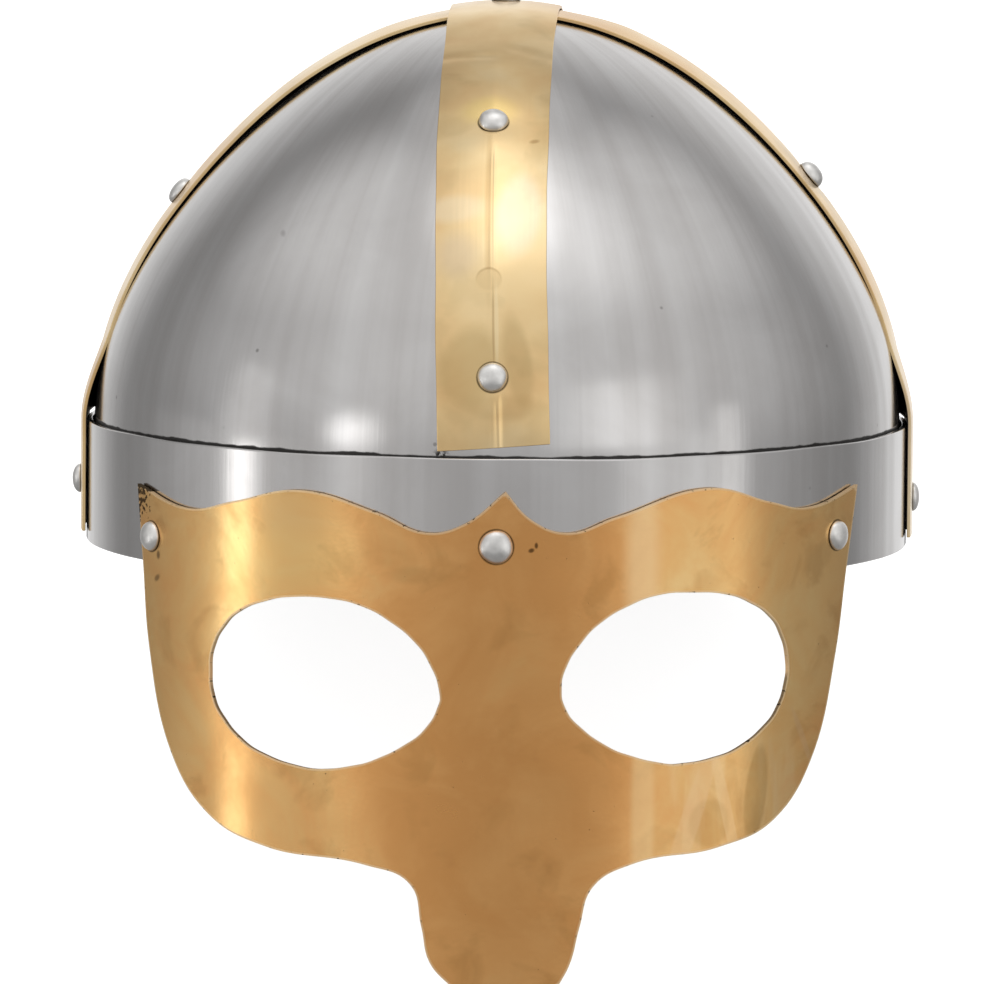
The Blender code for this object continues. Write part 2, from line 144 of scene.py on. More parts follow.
# Half the floor's width, and what the studio gives away from any panel and inside a faded one
FLOOR_REACH = 30.0
STUDIO_DIMNESS = 0.30
PANEL_SPILL = 0.09

Strap = namedtuple(
    "Strap", "name lengthwise skull_reach band_reach half_across laps_band ridges lift sway"
)
Rivet = namedtuple("Rivet", "name seat out grip width height")
Shape = namedtuple("Shape", "left_reach left_height right_reach right_height corner")
Panel = namedtuple("Panel", "azimuth elevation half_wide half_tall soft_wide soft_tall radiance")
RoundPanel = namedtuple("RoundPanel", "azimuth elevation half soft radiance")
Mark = namedtuple("Mark", "middle half_axes tilt soft share tint")

# Light panels in the helmet's own frame, in degrees: azimuth from its front to the viewer's right,
# elevation, half the width and height, how far the edges fade, and the radiance
PANELS = (
    Panel(3, 40, 116, 53, 142, 79, 0.74),
    Panel(-57, -9, 62, 13, 82, 7, 0.61),
    Panel(58, -7, 22, 15, 14, 15, 0.77),
    Panel(41, 12, 28, 15, 62, 6, 1.08),
    Panel(3, 57, 134, 30, 53, 53, 0.81),
    Panel(174, 11, 38, 42, 57, 67, 0.95),
    Panel(-82, -11, 5, 9, 3, 6, 2.25),
    Panel(-82, 8, 13, 15, 25, 6, 0.83),
    Panel(75, -8, 6, 20, 12, 6, 1.05),
)

# Round light panels: azimuth, elevation, half the width, how far the edge fades, and the radiance
ROUND_PANELS = (
    RoundPanel(182, 77, 22, 39, 0.77),
    RoundPanel(-46, 5, 8, 22, 1.95),
    RoundPanel(8, 80, 21, 30, 1.55),
    RoundPanel(57, 67, 25, 51, 1.12),
    RoundPanel(-34, 39, 19, 12, 0.77),
)

# Marks on the straps, across and along from the crown: middle, half axes, degrees that it is turned
# by, share of it that fades, strength and colour
STRAP_MARKS = (
    Mark((0.0000, -0.1050), (0.0170, 0.0330), 0, 0.50, 0.35, "FFE6B4"),
    # Painted highlight: a pale patch on the long strap's right facet.
    Mark((0.0070, -0.1000), (0.0055, 0.0120), -6, 0.30, 0.35, "F3E6D8"),
    Mark((-0.0090, -0.0985), (0.0075, 0.0040), 0, 0.45, 0.45, "F8E8C8"),
    Mark((-0.0085, -0.1120), (0.0048, 0.0060), 0, 0.60, 0.40, "DCC8B0"),
    Mark((-0.0058, -0.1420), (0.0072, 0.0100), -20, 0.30, 0.42, "B99E68"),
    Mark((0.0062, -0.1405), (0.0034, 0.0110), 8, 0.30, 0.36, "B99E68"),
    Mark((0.0020, -0.1520), (0.0100, 0.0030), 0, 0.40, 0.22, "B0935C"),
    Mark((-0.0010, -0.0655), (0.0065, 0.0045), 0, 0.50, 0.45, "FFE089"),
    # Painted shade: a soft brown line beside the long strap's crease.
    Mark((-0.0007, -0.0985), (0.0009, 0.0225), 0, 0.50, 0.35, "C79F66"),
    Mark((-0.0006, -0.1193), (0.0031, 0.0031), 0, 0.10, 0.40, "96743F"),
    Mark((-0.0006, -0.1200), (0.0032, 0.0032), 0, 0.12, 0.80, "F3D6A2"),
    # Painted shade and painted highlight: a dark line on the crease and a bright line on its flank.
    Mark((0.0004, -0.1316), (0.0003, 0.0100), 0, 0.50, 0.32, "8A6C40"),
    Mark((0.0012, -0.1316), (0.0005, 0.0100), 0, 0.50, 0.40, "FFEBC0"),
    Mark((0.0000, 1.1720), (0.0170, 0.0300), 0, 0.40, 0.55, "FFF3DC"),
    Mark((0.0060, 0.9000), (0.0040, 0.0140), 12, 0.40, 0.30, "B99E68"),
    Mark((-0.0040, 1.0950), (0.0050, 0.0120), -10, 0.40, 0.30, "B99E68"),
    Mark((0.0104, -0.0760), (0.0012, 0.0006), 25, 0.60, 0.50, "A57F48"),
)

# Marks on the mask, along the sheet and up from the middle of the band's bottom edge, in the same way
MASK_MARKS = (
    Mark((0.0000, -0.0420), (0.0300, 0.0500), 0, 0.50, 0.25, "D99A58"),
    Mark((-0.0560, 0.0030), (0.0200, 0.0090), 0, 0.50, 0.30, "FFD98E"),
    Mark((-0.0200, 0.0020), (0.0060, 0.0020), 0, 0.50, 0.30, "B98A52"),
    Mark((-0.0700, -0.0620), (0.0110, 0.0240), 0, 0.50, 0.50, "C9955A"),
    # Painted highlight: two pale upright strips above and below the right eye.
    Mark((0.0368, 0.0050), (0.0042, 0.0260), 0, 0.60, 0.50, "FFE0AC"),
    Mark((0.0373, -0.0562), (0.0030, 0.0300), 0, 0.40, 0.40, "FFDFA6"),
    Mark((0.0560, -0.0605), (0.0060, 0.0060), -25, 0.15, 0.30, "B8904F"),
    Mark((0.0505, -0.0595), (0.0028, 0.0240), -20, 0.15, 0.28, "FAD4A4"),
    Mark((0.0612, -0.0580), (0.0017, 0.0200), 15, 0.15, 0.32, "FBD6A2"),
    Mark((0.0705, -0.0540), (0.0035, 0.0120), -8, 0.15, 0.40, "B38D50"),
    Mark((0.0764, -0.0500), (0.0011, 0.0100), 8, 0.20, 0.30, "F4CE98"),
    Mark((0.0870, -0.0410), (0.0010, 0.0085), 28, 0.20, 0.40, "EFC795"),
    Mark((0.0086, 0.0086), (0.0007, 0.0005), 20, 0.50, 0.85, "5A3A1C"),
    Mark((0.0098, 0.0098), (0.0004, 0.0007), 0, 0.50, 0.85, "5A3A1C"),
    Mark((-0.0995, 0.0023), (0.0007, 0.0010), 0, 0.50, 0.70, "5A4026"),
    Mark((-0.1000, -0.0035), (0.0012, 0.0007), 30, 0.50, 0.60, "5A4026"),
)

LONG_STRAP = Strap(
    "strap_front_to_back", True, SKULL_HALF_LENGTH, BAND_HALF_LENGTH, SKULL_HALF_WIDTH,
    (False, True), (LONG_RIDGE_RISE, LONG_RIDGE_RISE), STRAP_SHEET + FIT_GAP, LONG_STRAP_SWAY,
)
CROSS_STRAP = Strap(
    "strap_ear_to_ear", False, SKULL_HALF_WIDTH, BAND_HALF_WIDTH, SKULL_HALF_LENGTH,
    (True, True), (LEFT_RIDGE_RISE, RIGHT_RIDGE_RISE), 0.0, 0.0,
)

# Where a strap stands off the skull between two rivets: strap, start and end in degrees over the
# skull from its first end, height in shares of the top left bow
BOWS = (
    (CROSS_STRAP, 34, 80, 1.0),
    (CROSS_STRAP, 102, 142, 0.4),
    (LONG_STRAP, 14, 50, 0.4),
)

# Rivets over the skull: name, strap, degrees over the skull, height of the head
SKULL_RIVETS = (
    ("rivet_front_lower", LONG_STRAP, 10.8, 1.00),
    ("rivet_front_upper", LONG_STRAP, 51.8, 1.00),
    ("rivet_crown", LONG_STRAP, 90.0, 1.00),
    ("rivet_back_upper", LONG_STRAP, 126.5, 1.00),
    ("rivet_left_upper", CROSS_STRAP, 34.4, 0.85),
    ("rivet_right_upper", CROSS_STRAP, 142.0, 1.20),
)

# Rivets through the band: name, strap, end, share of band height, height of the head
BAND_RIVETS = (
    ("rivet_back_lower", LONG_STRAP, 1, 0.45, 1.00),
    ("rivet_left_lower", CROSS_STRAP, 0, 0.48, 0.80),
    ("rivet_right_lower", CROSS_STRAP, 1, 0.38, 0.65),
)

# Rivets through the mask: name, share of its half span, share of its rise, width and height
MASK_RIVETS = (
    ("rivet_mask_left", -0.930, 0.29, 1.00, 0.85),
    ("rivet_mask_centre", 0.000, 0.41, 1.13, 1.00),
    ("rivet_mask_right", 0.913, 0.37, 1.00, 0.85),
)

# The mask's edge from the peak out to the corner, down the cheek and in to the nose
MASK_EDGE = (
    Shape(0.020, 1.00, 0.020, 1.00, True),
    Shape(-0.075, 0.64, 0.078, 0.70, False),
    Shape(-0.155, 0.55, 0.155, 0.56, False),
    Shape(-0.270, 0.75, 0.270, 0.72, False),
    Shape(-0.455, 0.95, 0.500, 1.00, False),
    Shape(-0.640, 0.78, 0.675, 0.81, False),
    Shape(-0.780, 0.65, 0.790, 0.71, False),
    Shape(-0.995, 0.84, 1.005, 0.89, True),
    Shape(-0.968, 0.00, 0.957, 0.00, False),
    Shape(-0.938, -0.21, 0.913, -0.21, False),
    Shape(-0.850, -0.46, 0.826, -0.46, False),
    Shape(-0.712, -0.61, 0.694, -0.61, False),
    Shape(-0.540, -0.675, 0.530, -0.667, False),
    Shape(-0.285, -0.704, 0.310, -0.698, False),
    Shape(-0.187, -0.745, 0.223, -0.750, False),
    Shape(-0.160, -0.850, 0.193, -0.850, False),
    Shape(-0.140, -0.940, 0.172, -0.940, False),
    Shape(-0.090, -1.000, 0.145, -0.997, True),
)

# The eye holes' middles: side, share of the half span, share of the drop
EYES = (
    (-1, -0.400, -0.2575),
    (1, 0.424, -0.239),
)


def lean_of_frame():
    """Lean and place of the helmet, from the box that its straight oval band fills.

    A hoop of length L and height H that leans by a is L sin a + H cos a high. The solid's hoop has
    64 corners, none of them at its front or back, so that L falls short by the cosine of half a step.
    """
    low, high = (np.array(corner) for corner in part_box("brow_band"))
    length = 2 * BAND_HALF_LENGTH * math.cos(math.pi / 64)
    lean = math.asin((high - low)[2] / math.hypot(length, BAND_HEIGHT))
    lean -= math.atan2(BAND_HEIGHT, length)
    turn = Matrix.Rotation(-lean, 3, "X")
    middle = np.array(turn) @ np.array([0.0, 0.0, BAND_HEIGHT / 2])
    place = Matrix.Translation(((low + high) / 2 - middle).tolist())
    return place @ turn.to_4x4()


HELMET = lean_of_frame()


def smooth(share):
    """Ease from 0 to 1, level at both ends."""
    share = np.clip(share, 0.0, 1.0)
    return share * share * (3 - 2 * share)


def bell(off, width):
    """1 in the middle, falling to 1/e at the width on both sides."""
    return np.exp(-((off / width) ** 2))


def drawn(up):
    """Share of the full oval that the skull keeps, from the sine of the way up to the crown."""
    return 1 - SHOULDER_DRAW * 4 * up**2 * (1 - up**2)


def crown_drift(height):
    """How far to the right the skull has gone at a height, on the way to its off-centre crown."""
    return CROWN_SHIFT * np.clip((height - BAND_HEIGHT) / SKULL_RISE, 0.0, 1.0)


def skin(rings, first=None, last=None, looped=False):
    """Points and faces of a skin over rings of points, with poles or a join from last to first."""
    count, around = rings.shape[:2]
    index = np.arange(count * around).reshape(count, around)
    upper = np.roll(index, -1, axis=0) if looped else index[1:]
    lower = index if looped else index[:-1]
    quads = np.stack([lower, np.roll(lower, -1, 1), np.roll(upper, -1, 1), upper], axis=-1)
    points = rings.reshape(-1, 3)
    faces = quads.reshape(-1, 4).tolist()
    for pole, ring in ((first, index[0][::-1]), (last, index[-1])):
        if pole is not None:
            fan = np.stack([ring, np.roll(ring, -1), np.full(around, len(points))], axis=-1)
            faces += fan.tolist()
            points = np.vstack([points, pole])
    return points, faces


def add_piece(name, points, faces, material, sheet=None, edge=None, rounding=EDGE_ROUNDING):
    """Lay a closed mesh in place of its solid, faces outward, with its sharp edges eased."""
    turn = np.array(HELMET)
    laid = points @ turn[:3, :3].T + turn[:3, 3]
    mesh = bpy.data.meshes.new(name)
    mesh.from_pydata(laid.tolist(), [], faces)
    shell = bmesh.new()
    shell.from_mesh(mesh)
    bmesh.ops.recalc_face_normals(shell, faces=shell.faces)
    shell.to_mesh(mesh)
    shell.free()
    mesh.shade_smooth()
    mesh.materials.append(material)
    loops = np.empty(len(mesh.loops), np.int32)
    mesh.loops.foreach_get("vertex_index", loops)
    if sheet is not None:
        at_loops = sheet[loops].astype(np.float32).ravel()
        mesh.uv_layers.new(name="sheet").data.foreach_set("uv", at_loops)
    if edge is not None:
        mesh.attributes.new("edge", "FLOAT", "POINT").data.foreach_set("value", edge.astype(np.float32))
    piece = bpy.data.objects.new(name, mesh)
    bpy.context.scene.collection.objects.link(piece)
    if rounding:
        eased = piece.modifiers.new("eased edges", "BEVEL")
        eased.width = rounding
        eased.segments = 2
        eased.limit_method = "ANGLE"
        eased.angle_limit = math.radians(35)
        eased.harden_normals = True
    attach(piece, "root")
    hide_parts(name.removesuffix("_skin"))
    return piece


def hand_worked(turn, height):
    """Slow unevenness of hand-worked sheet, in metres: two waves round and one up."""
    return 0.00012 * (
        np.sin(5 * turn + 3.1 * height / 0.1 + 0.7) + 0.7 * np.sin(9 * turn - 5.0 * height / 0.1)
    )


def make_skull(material):
    """Dome over a straight skirt, inner wall parallel to the outer one.

    At a rise r over the half widths, the oval keeps cos r of its width and sin r of its rise, both
    drawn in at the shoulders.
    """
    turn = np.linspace(0, 2 * math.pi, 192, endpoint=False)

    def wall(inset):
        rise = np.concatenate([np.zeros(8), np.linspace(0, CROWN, 73)[1:-1]])[:, None]
        skirt = np.linspace(SKULL_RIM_ABOVE_BAND_RIM, BAND_HEIGHT, 8)
        base = np.concatenate([skirt, np.full(71, BAND_HEIGHT)])[:, None]
        kept = drawn(np.sin(rise))
        height = base + (SKULL_RISE - inset) * np.sin(rise) * kept
        swell = hand_worked(turn[None, :], height) * np.cos(rise) * smooth(rise / 0.3) - inset
        swell = swell + SKULL_FOOT_SWELL * (1 - smooth(rise / math.radians(34)))
        x = (SKULL_HALF_WIDTH + swell) * np.cos(rise) * kept * np.cos(turn)
        y = (SKULL_HALF_LENGTH + swell) * np.cos(rise) * kept * np.sin(turn)
        height = np.broadcast_to(height, x.shape)
        return np.stack([x + crown_drift(height), y, height], axis=-1)

    outer, inner = wall(0.0), wall(SKULL_SHEET)
    rings = np.concatenate([outer[::-1], inner])
    top = np.array([CROWN_SHIFT, 0.0, BAND_HEIGHT + SKULL_RISE])
    under = top - np.array([0.0, 0.0, SKULL_SHEET])
    points, faces = skin(rings, first=top, last=under)
    return add_piece("skull_skin", points, faces, material)


def make_band(material):
    """Straight oval hoop: a thin upright rectangle carried round the oval, which lies between the
    solid's facets and their corners."""
    turn = np.linspace(0, 2 * math.pi, 240, endpoint=False)
    height = np.linspace(0.0, BAND_HEIGHT, 9)
    inset = np.concatenate([np.zeros(9), np.full(9, BAND_SHEET)])[:, None]
    height = np.concatenate([height, height[::-1]])[:, None]
    wave = 0.00010 * np.sin(7 * turn + 1.0) + 0.00008 * np.sin(16 * turn)
    z = height + wave * (height / BAND_HEIGHT) ** 4
    x = (BAND_HALF_WIDTH * SMOOTH_OVAL - inset + 0.4 * wave) * np.cos(turn)
    y = (BAND_HALF_LENGTH * SMOOTH_OVAL - inset + 0.4 * wave) * np.sin(turn)
    points, faces = skin(np.stack([x, y, z], axis=-1), looped=True)
    return add_piece(
        "brow_band_skin", points, faces, material, rounding=BAND_ROUNDING
    )


def crease_height(strap, rise, across):
    """Height of a strap's middle crease: a rounded V, pressed down at each rivet and at the crossing.

    Beside the long strap's crest runs a fine scored line. Below its lowest front rivet the crest
    ends in a narrow bead, and above its upper one two shallow folds run across.
    """
    degrees = np.degrees(rise)
    from_end = np.minimum(rise, math.pi - rise)
    from_crown = SKULL_RISE * np.abs(rise - CROWN)
    full = np.where(rise < CROWN, *strap.ridges) * smooth((from_crown - STRAP_WIDTH / 2) / LAP_RAMP)
    full = full * (0.2 + 0.8 * smooth(from_end / math.radians(12)))
    if strap is LONG_STRAP:
        full = full * (1 - 0.5 * smooth((np.degrees(from_end) - 56.0) / 8.0))
    for _, riveted, seat, _ in SKULL_RIVETS:
        if riveted is strap:
            along = SKULL_RISE * (rise - math.radians(seat))
            full = full * (1 - 0.35 * bell(along, 0.005))
    fallen = (np.sqrt(across**2 + CREASE_ROUNDING**2) - CREASE_ROUNDING) / (STRAP_WIDTH / 2)
    height = full * (1 - fallen)
    if strap is LONG_STRAP:
        between = smooth((degrees - SCORED_FROM) / 2.0) * (1 - smooth((degrees - SCORED_TO) / 4.0))
        scored = bell(across - 0.0007, 0.00035) - 0.7 * bell(across, 0.0005)
        below = 1 - smooth((degrees - BEAD_TO) / 2.0)
        left_fold = bell(degrees - 66.4 + 90 * across, 0.8) * smooth(0.5 - across / 0.006)
        right_fold = bell(degrees - 68.2 + 160 * (across - 0.006), 0.9) * smooth(across / 0.004)
        height = height - SCORED_DEPTH * between * scored - 0.00016 * left_fold - 0.00012 * right_fold
        height = height + BEAD_HEIGHT * bell(across - 0.0012, 0.0007) * below
        height = height - GROOVE_DEPTH * bell(across + 0.0004, 0.0005) * below
    return height


def strap_point(strap, rise, drop, across, out):
    """Point of a strap that stands `out` above its own underside.

    rise goes from 0 over the crown to pi, and drop is the way down the band from its top edge.
    The underside follows the skull, steps out over the band, crests at the crease and is lifted
    where the strap crosses over the other. The ear-to-ear strap's hind half is hammered down onto
    the skull close above the band, and its front half rises away sooner.
    """
    first, last = strap.laps_band
    hammered = 0.0 if strap.lengthwise else 0.9 * smooth((across / (STRAP_WIDTH / 2) + 0.4) / 1.2)
    run = BAND_STEP_RUN * (1 - hammered)
    near_first = 1 - smooth(rise / run)
    near_last = 1 - smooth((math.pi - rise) / run)
    step = (strap.band_reach - strap.skull_reach) * (first * near_first + last * near_last)
    from_crown = SKULL_RISE * np.abs(rise - CROWN)
    lap = strap.lift * (1 - smooth((from_crown - STRAP_WIDTH / 2) / LAP_RAMP))
    bow = sum(
        height * TOP_LEFT_BOW
        * np.sin(math.pi * np.clip((np.degrees(rise) - start) / (end - start), 0, 1)) ** 2
        for bowed, start, end, height in BOWS if bowed is strap
    )
    above = STRAP_GAP + lap + bow + crease_height(strap, rise, across) + out
    side = across - strap.sway * (np.sin(2 * rise) + np.cos(rise) / 3)
    aside = side / (strap.half_across + above)
    kept = drawn(np.sin(rise) * np.sqrt(1 - aside**2))
    middle = np.sqrt(1 - (aside / kept) ** 2)
    kept = drawn(np.sin(rise) * middle)
    reach = -(strap.skull_reach + step + above) * np.cos(rise) * kept * middle
    height = BAND_HEIGHT - drop + (SKULL_RISE + above) * np.sin(rise) * kept * middle
    x, y = (side, reach) if strap.lengthwise else (reach, side)
    return np.stack([x + crown_drift(height), y, height], axis=-1)


def make_strap(strap, material):
    """Thin creased strip: top and underside over stations along it and columns across it."""
    rises = np.linspace(0.0, math.pi, 361)
    drops = np.zeros(361)
    down = np.linspace(0.0, BAND_HEIGHT - STRAP_END_ABOVE_RIM, 15)[1:]
    if strap.laps_band[0]:
        rises = np.concatenate([np.zeros(14), rises])
        drops = np.concatenate([down[::-1], drops])
    else:
        rises = rises[3:]
        drops = drops[3:]
        rises[0] = FRONT_END_ABOVE_BAND / SKULL_RISE
    if strap.laps_band[1]:
        rises = np.concatenate([rises, np.full(14, math.pi)])
        drops = np.concatenate([drops, down])
    even = np.linspace(-1.0, 1.0, 47)
    across = STRAP_WIDTH / 2 * (0.35 * even + 0.65 * even**3)
    columns = len(across)
    rise, column = np.meshgrid(rises, across, indexing="ij")
    if not strap.laps_band[0]:
        fade = (1 - smooth((rise - rises[0]) / math.radians(4)))
        rise = rise + fade * FRONT_END_SLANT / SKULL_RISE * column / STRAP_WIDTH
    drop = np.repeat(drops[:, None], columns, axis=1)
    column = column * (1 + 0.006 * np.sin(9 * rise) + 0.004 * np.sin(23 * rise + 1))
    under = strap_point(strap, rise, drop, column, 0.0)
    over = strap_point(strap, rise, drop, column, STRAP_SHEET)
    rings = np.concatenate([over, under[:, ::-1]], axis=1)
    points, faces = skin(rings)
    around, last_ring = 2 * columns, len(points) - 2 * columns
    for i in range(columns - 1):
        cap = [i, i + 1, around - 2 - i, around - 1 - i]
        faces.append(cap[::-1])
        faces.append([last_ring + j for j in cap])
    way = np.where(drop > 0, np.sign(rise - CROWN) * drop, 0.0) + SKULL_RISE * (rise - CROWN)
    start = 0.0 if strap.lengthwise else CROSS_STRAP_SHEET_START
    flat = np.stack([column, way + start], axis=-1)
    flat = np.concatenate([flat, flat[:, ::-1]], axis=1).reshape(-1, 2)
    return add_piece(strap.name + "_skin", points, faces, material, sheet=flat)


def bent_edge(points, corners, steps):
    """Closed smooth line through the points; a handle is 0.39 of the way to the neighbour, along
    the bisector of both ways, or a third of the way at a sharp corner."""
    points, corners = np.array(points), np.array(corners)[:, None]
    to_next = np.roll(points, -1, axis=0) - points
    from_last = points - np.roll(points, 1, axis=0)
    next_length = np.linalg.norm(to_next, axis=1)[:, None]
    last_length = np.linalg.norm(from_last, axis=1)[:, None]
    way = to_next / next_length + from_last / last_length
    way = way / (np.linalg.norm(way, axis=1)[:, None] * 2.5614)
    after = np.where(corners, points + to_next / 3, points + way * next_length)
    before = np.where(corners, points - from_last / 3, points - way * last_length)
    t = np.linspace(0, 1, steps, endpoint=False)[None, :, None]
    a, b, c, d = (p[:, None] for p in (points, after, np.roll(before, -1, 0), np.roll(points, -1, 0)))
    line = (1 - t) ** 3 * a + 3 * (1 - t) ** 2 * t * b + 3 * (1 - t) * t**2 * c + t**3 * d
    return line.reshape(-1, 2)


def mask_height(share):
    return np.where(np.array(share) > 0, np.array(share) * MASK_RISE, np.array(share) * MASK_DROP)


def eye_outline(side, reach, height):
    """Oval, blunt above its outer end and pinched below its drooping inner one, with a filed edge."""
    turn = np.linspace(0, 2 * math.pi, 180, endpoint=False)
    outward, up = np.cos(turn), np.sin(turn)
    power = np.where((outward > 0) & (up > 0), 2 / EYE_OUTER_FULLNESS, 1.0)
    power = np.where((outward < 0) & (up < 0), 2 / EYE_INNER_LOWER_FULLNESS, power)
    out = np.sign(outward) * np.abs(outward) ** power
    rise = np.sign(up) * np.abs(up) ** power * EYE_HALF_HEIGHT
    rise = rise - np.where(outward < 0, EYE_DROOP * out * out, 0.0)
    width = np.where(outward > 0, EYE_OUTER_REACH, EYE_INNER_REACH)
    filed = 1 + 0.003 * np.sin(11 * turn + side) + 0.002 * np.sin(23 * turn + 2 * side)
    x = reach * MASK_HALF_SPAN + side * width * out * filed
    y = mask_height(height) + rise * filed
    return np.stack([x, y], axis=-1)


def inside(points, outline):
    """Which points lie in a closed outline, by counting the edges to their right."""
    x, y = points[:, 0, None], points[:, 1, None]
    ax, ay = outline[:, 0], outline[:, 1]
    bx, by = np.roll(ax, -1), np.roll(ay, -1)
    spans = (ay > y) != (by > y)
    drop = np.where(by == ay, 1.0, by - ay)
    return (spans & (x < (bx - ax) * (y - ay) / drop + ax)).sum(axis=1) % 2 == 1


def distance_to(points, outline):
    """Shortest way from each point to a closed outline: the least over all of its edges."""
    way_x, way_y = (np.roll(outline, -1, axis=0) - outline).T
    off_x = points[:, 0, None] - outline[:, 0]
    off_y = points[:, 1, None] - outline[:, 1]
    share = np.clip((off_x * way_x + off_y * way_y) / (way_x**2 + way_y**2), 0, 1)
    return np.hypot(off_x - share * way_x, off_y - share * way_y).min(axis=1)


def bend_round_band(along, height, out):
    """Points of the mask's flat pattern bent round the band, `out` off it.

    Way along the sheet becomes way along the oval from the middle of the front.
    """
    turn = np.linspace(-math.pi * 0.62, math.pi * 0.62, 4001)
    x = (BAND_HALF_WIDTH + FIT_GAP) * np.sin(turn)
    y = -(BAND_HALF_LENGTH + FIT_GAP) * np.cos(turn)
    way = np.concatenate([[0.0], np.cumsum(np.hypot(np.diff(x), np.diff(y)))])
    way -= np.interp(0.0, turn, way)
    at = np.interp(along, way, turn)
    normal = np.stack([np.sin(at) * BAND_HALF_LENGTH, -np.cos(at) * BAND_HALF_WIDTH], axis=-1)
    normal /= np.linalg.norm(normal, axis=-1, keepdims=True)
    x = (BAND_HALF_WIDTH + FIT_GAP) * np.sin(at) + normal[..., 0] * (out - FIT_GAP)
    y = -(BAND_HALF_LENGTH + FIT_GAP) * np.cos(at) + normal[..., 1] * (out - FIT_GAP)
    return np.stack([x, y, height], axis=-1)


def make_mask(material):
    """Flat pattern cut into even cells inside its outlines, bent round the band and given a wall.

    A point belongs to the sheet where it is inside the edge and outside both eye holes.
    """
    right = [(row.right_reach, row.right_height, row.corner) for row in MASK_EDGE]
    left = [(row.left_reach, row.left_height, row.corner) for row in MASK_EDGE[:0:-1]]
    rows = [(reach * MASK_HALF_SPAN, mask_height(height)) for reach, height, _ in right + left]
    edge = bent_edge(rows, [row[2] for row in right + left], 14)
    holes = [eye_outline(*eye) for eye in EYES]
    lines = [edge] + holes
    across = np.arange(-MASK_HALF_SPAN * 1.02, MASK_HALF_SPAN * 1.02, MASK_CELL)
    up = np.arange(-MASK_DROP, MASK_RISE, MASK_CELL)
    cells = np.stack(np.meshgrid(across, up), axis=-1).reshape(-1, 2)
    cells = cells[inside(cells, edge)]
    for hole in holes:
        cells = cells[~inside(cells, hole)]
    to_edge = np.min([distance_to(cells, line) for line in lines], axis=0)
    cells = cells[to_edge > 0.6 * MASK_CELL]
    flat = np.vstack(lines + [cells])
    bounds, start = [], 0
    for line in lines:
        index = np.arange(start, start + len(line))
        bounds += np.stack([index, np.roll(index, -1)], axis=-1).tolist()
        start += len(line)
    points, _, faces, _, _, _ = delaunay_2d_cdt(flat.tolist(), bounds, [], 0, 1e-9)
    flat = np.array(points)
    faces = np.array(faces)
    middles = flat[faces].mean(axis=1)
    kept = inside(middles, edge)
    for hole in holes:
        kept &= ~inside(middles, hole)
    faces = faces[kept]
    ends = np.concatenate([faces[:, [0, 1]], faces[:, [1, 2]], faces[:, [2, 0]]])
    _, which, shared = np.unique(np.sort(ends, axis=1), axis=0, return_index=True, return_counts=True)
    rim = ends[which[shared == 1]]
    to_edge = np.min([distance_to(flat, line) for line in lines], axis=0)
    outer = bend_round_band(flat[:, 0], flat[:, 1], FIT_GAP + MASK_SHEET)
    inner = bend_round_band(flat[:, 0], flat[:, 1], FIT_GAP)
    count = len(flat)
    walls = np.stack([rim[:, 1], rim[:, 0], rim[:, 0] + count, rim[:, 1] + count], axis=-1)
    all_faces = faces.tolist() + (faces[:, ::-1] + count).tolist() + walls.tolist()
    return add_piece(
        "mask_skin", np.vstack([outer, inner]), all_faces, material,
        sheet=np.vstack([flat, flat]), edge=np.tile(to_edge, 2),
    )


def strap_seat(strap, rise, drop):
    """Top of a strap's crease, and the way straight out of it."""
    here = strap_point(strap, rise, drop, 0.0, STRAP_SHEET)
    if drop > 0:
        out = np.array([0.0, -math.cos(rise), 0.0] if strap.lengthwise else [-math.cos(rise), 0.0, 0.0])
    else:
        before, after = (strap_point(strap, rise + step, 0.0, 0.0, 0.0) for step in (-1e-3, 1e-3))
        out = np.cross([1.0, 0.0, 0.0] if strap.lengthwise else [0.0, -1.0, 0.0], after - before)
    return here, out / np.linalg.norm(out)


def plan_rivets():
    """Seat, direction, grip and size of every rivet."""
    rivets = []
    for name, strap, degrees, height in SKULL_RIVETS:
        rise = math.radians(degrees)
        seat, out = strap_seat(strap, rise, 0.0)
        kept = drawn(math.sin(rise))
        reach = -strap.skull_reach * math.cos(rise) * kept
        up = BAND_HEIGHT + SKULL_RISE * math.sin(rise) * kept
        on_skull = [seat[0], reach, up] if strap.lengthwise else [reach + crown_drift(up), 0.0, up]
        grip = (seat - on_skull) @ out + SKULL_SHEET
        rivets.append(Rivet(name, seat, out, grip, 1.0, height))
    for name, strap, end, share, height in BAND_RIVETS:
        seat, out = strap_seat(strap, math.pi * end, BAND_HEIGHT * (1 - share))
        grip = abs(seat @ out) - strap.skull_reach + SKULL_SHEET
        rivets.append(Rivet(name, seat, out, grip, 1.0, height))
    for name, reach, rise, width, height in MASK_RIVETS:
        along, up = reach * MASK_HALF_SPAN, float(mask_height(rise))
        near, far = (bend_round_band(np.float64(along), up, out) for out in (0.0, FIT_GAP + MASK_SHEET))
        out = (far - near) / np.linalg.norm(far - near)
        grip = MASK_SHEET + FIT_GAP + BAND_SHEET + SKULL_SLACK + SKULL_SHEET
        rivets.append(Rivet(name, far, out, grip, width, height))
    return rivets


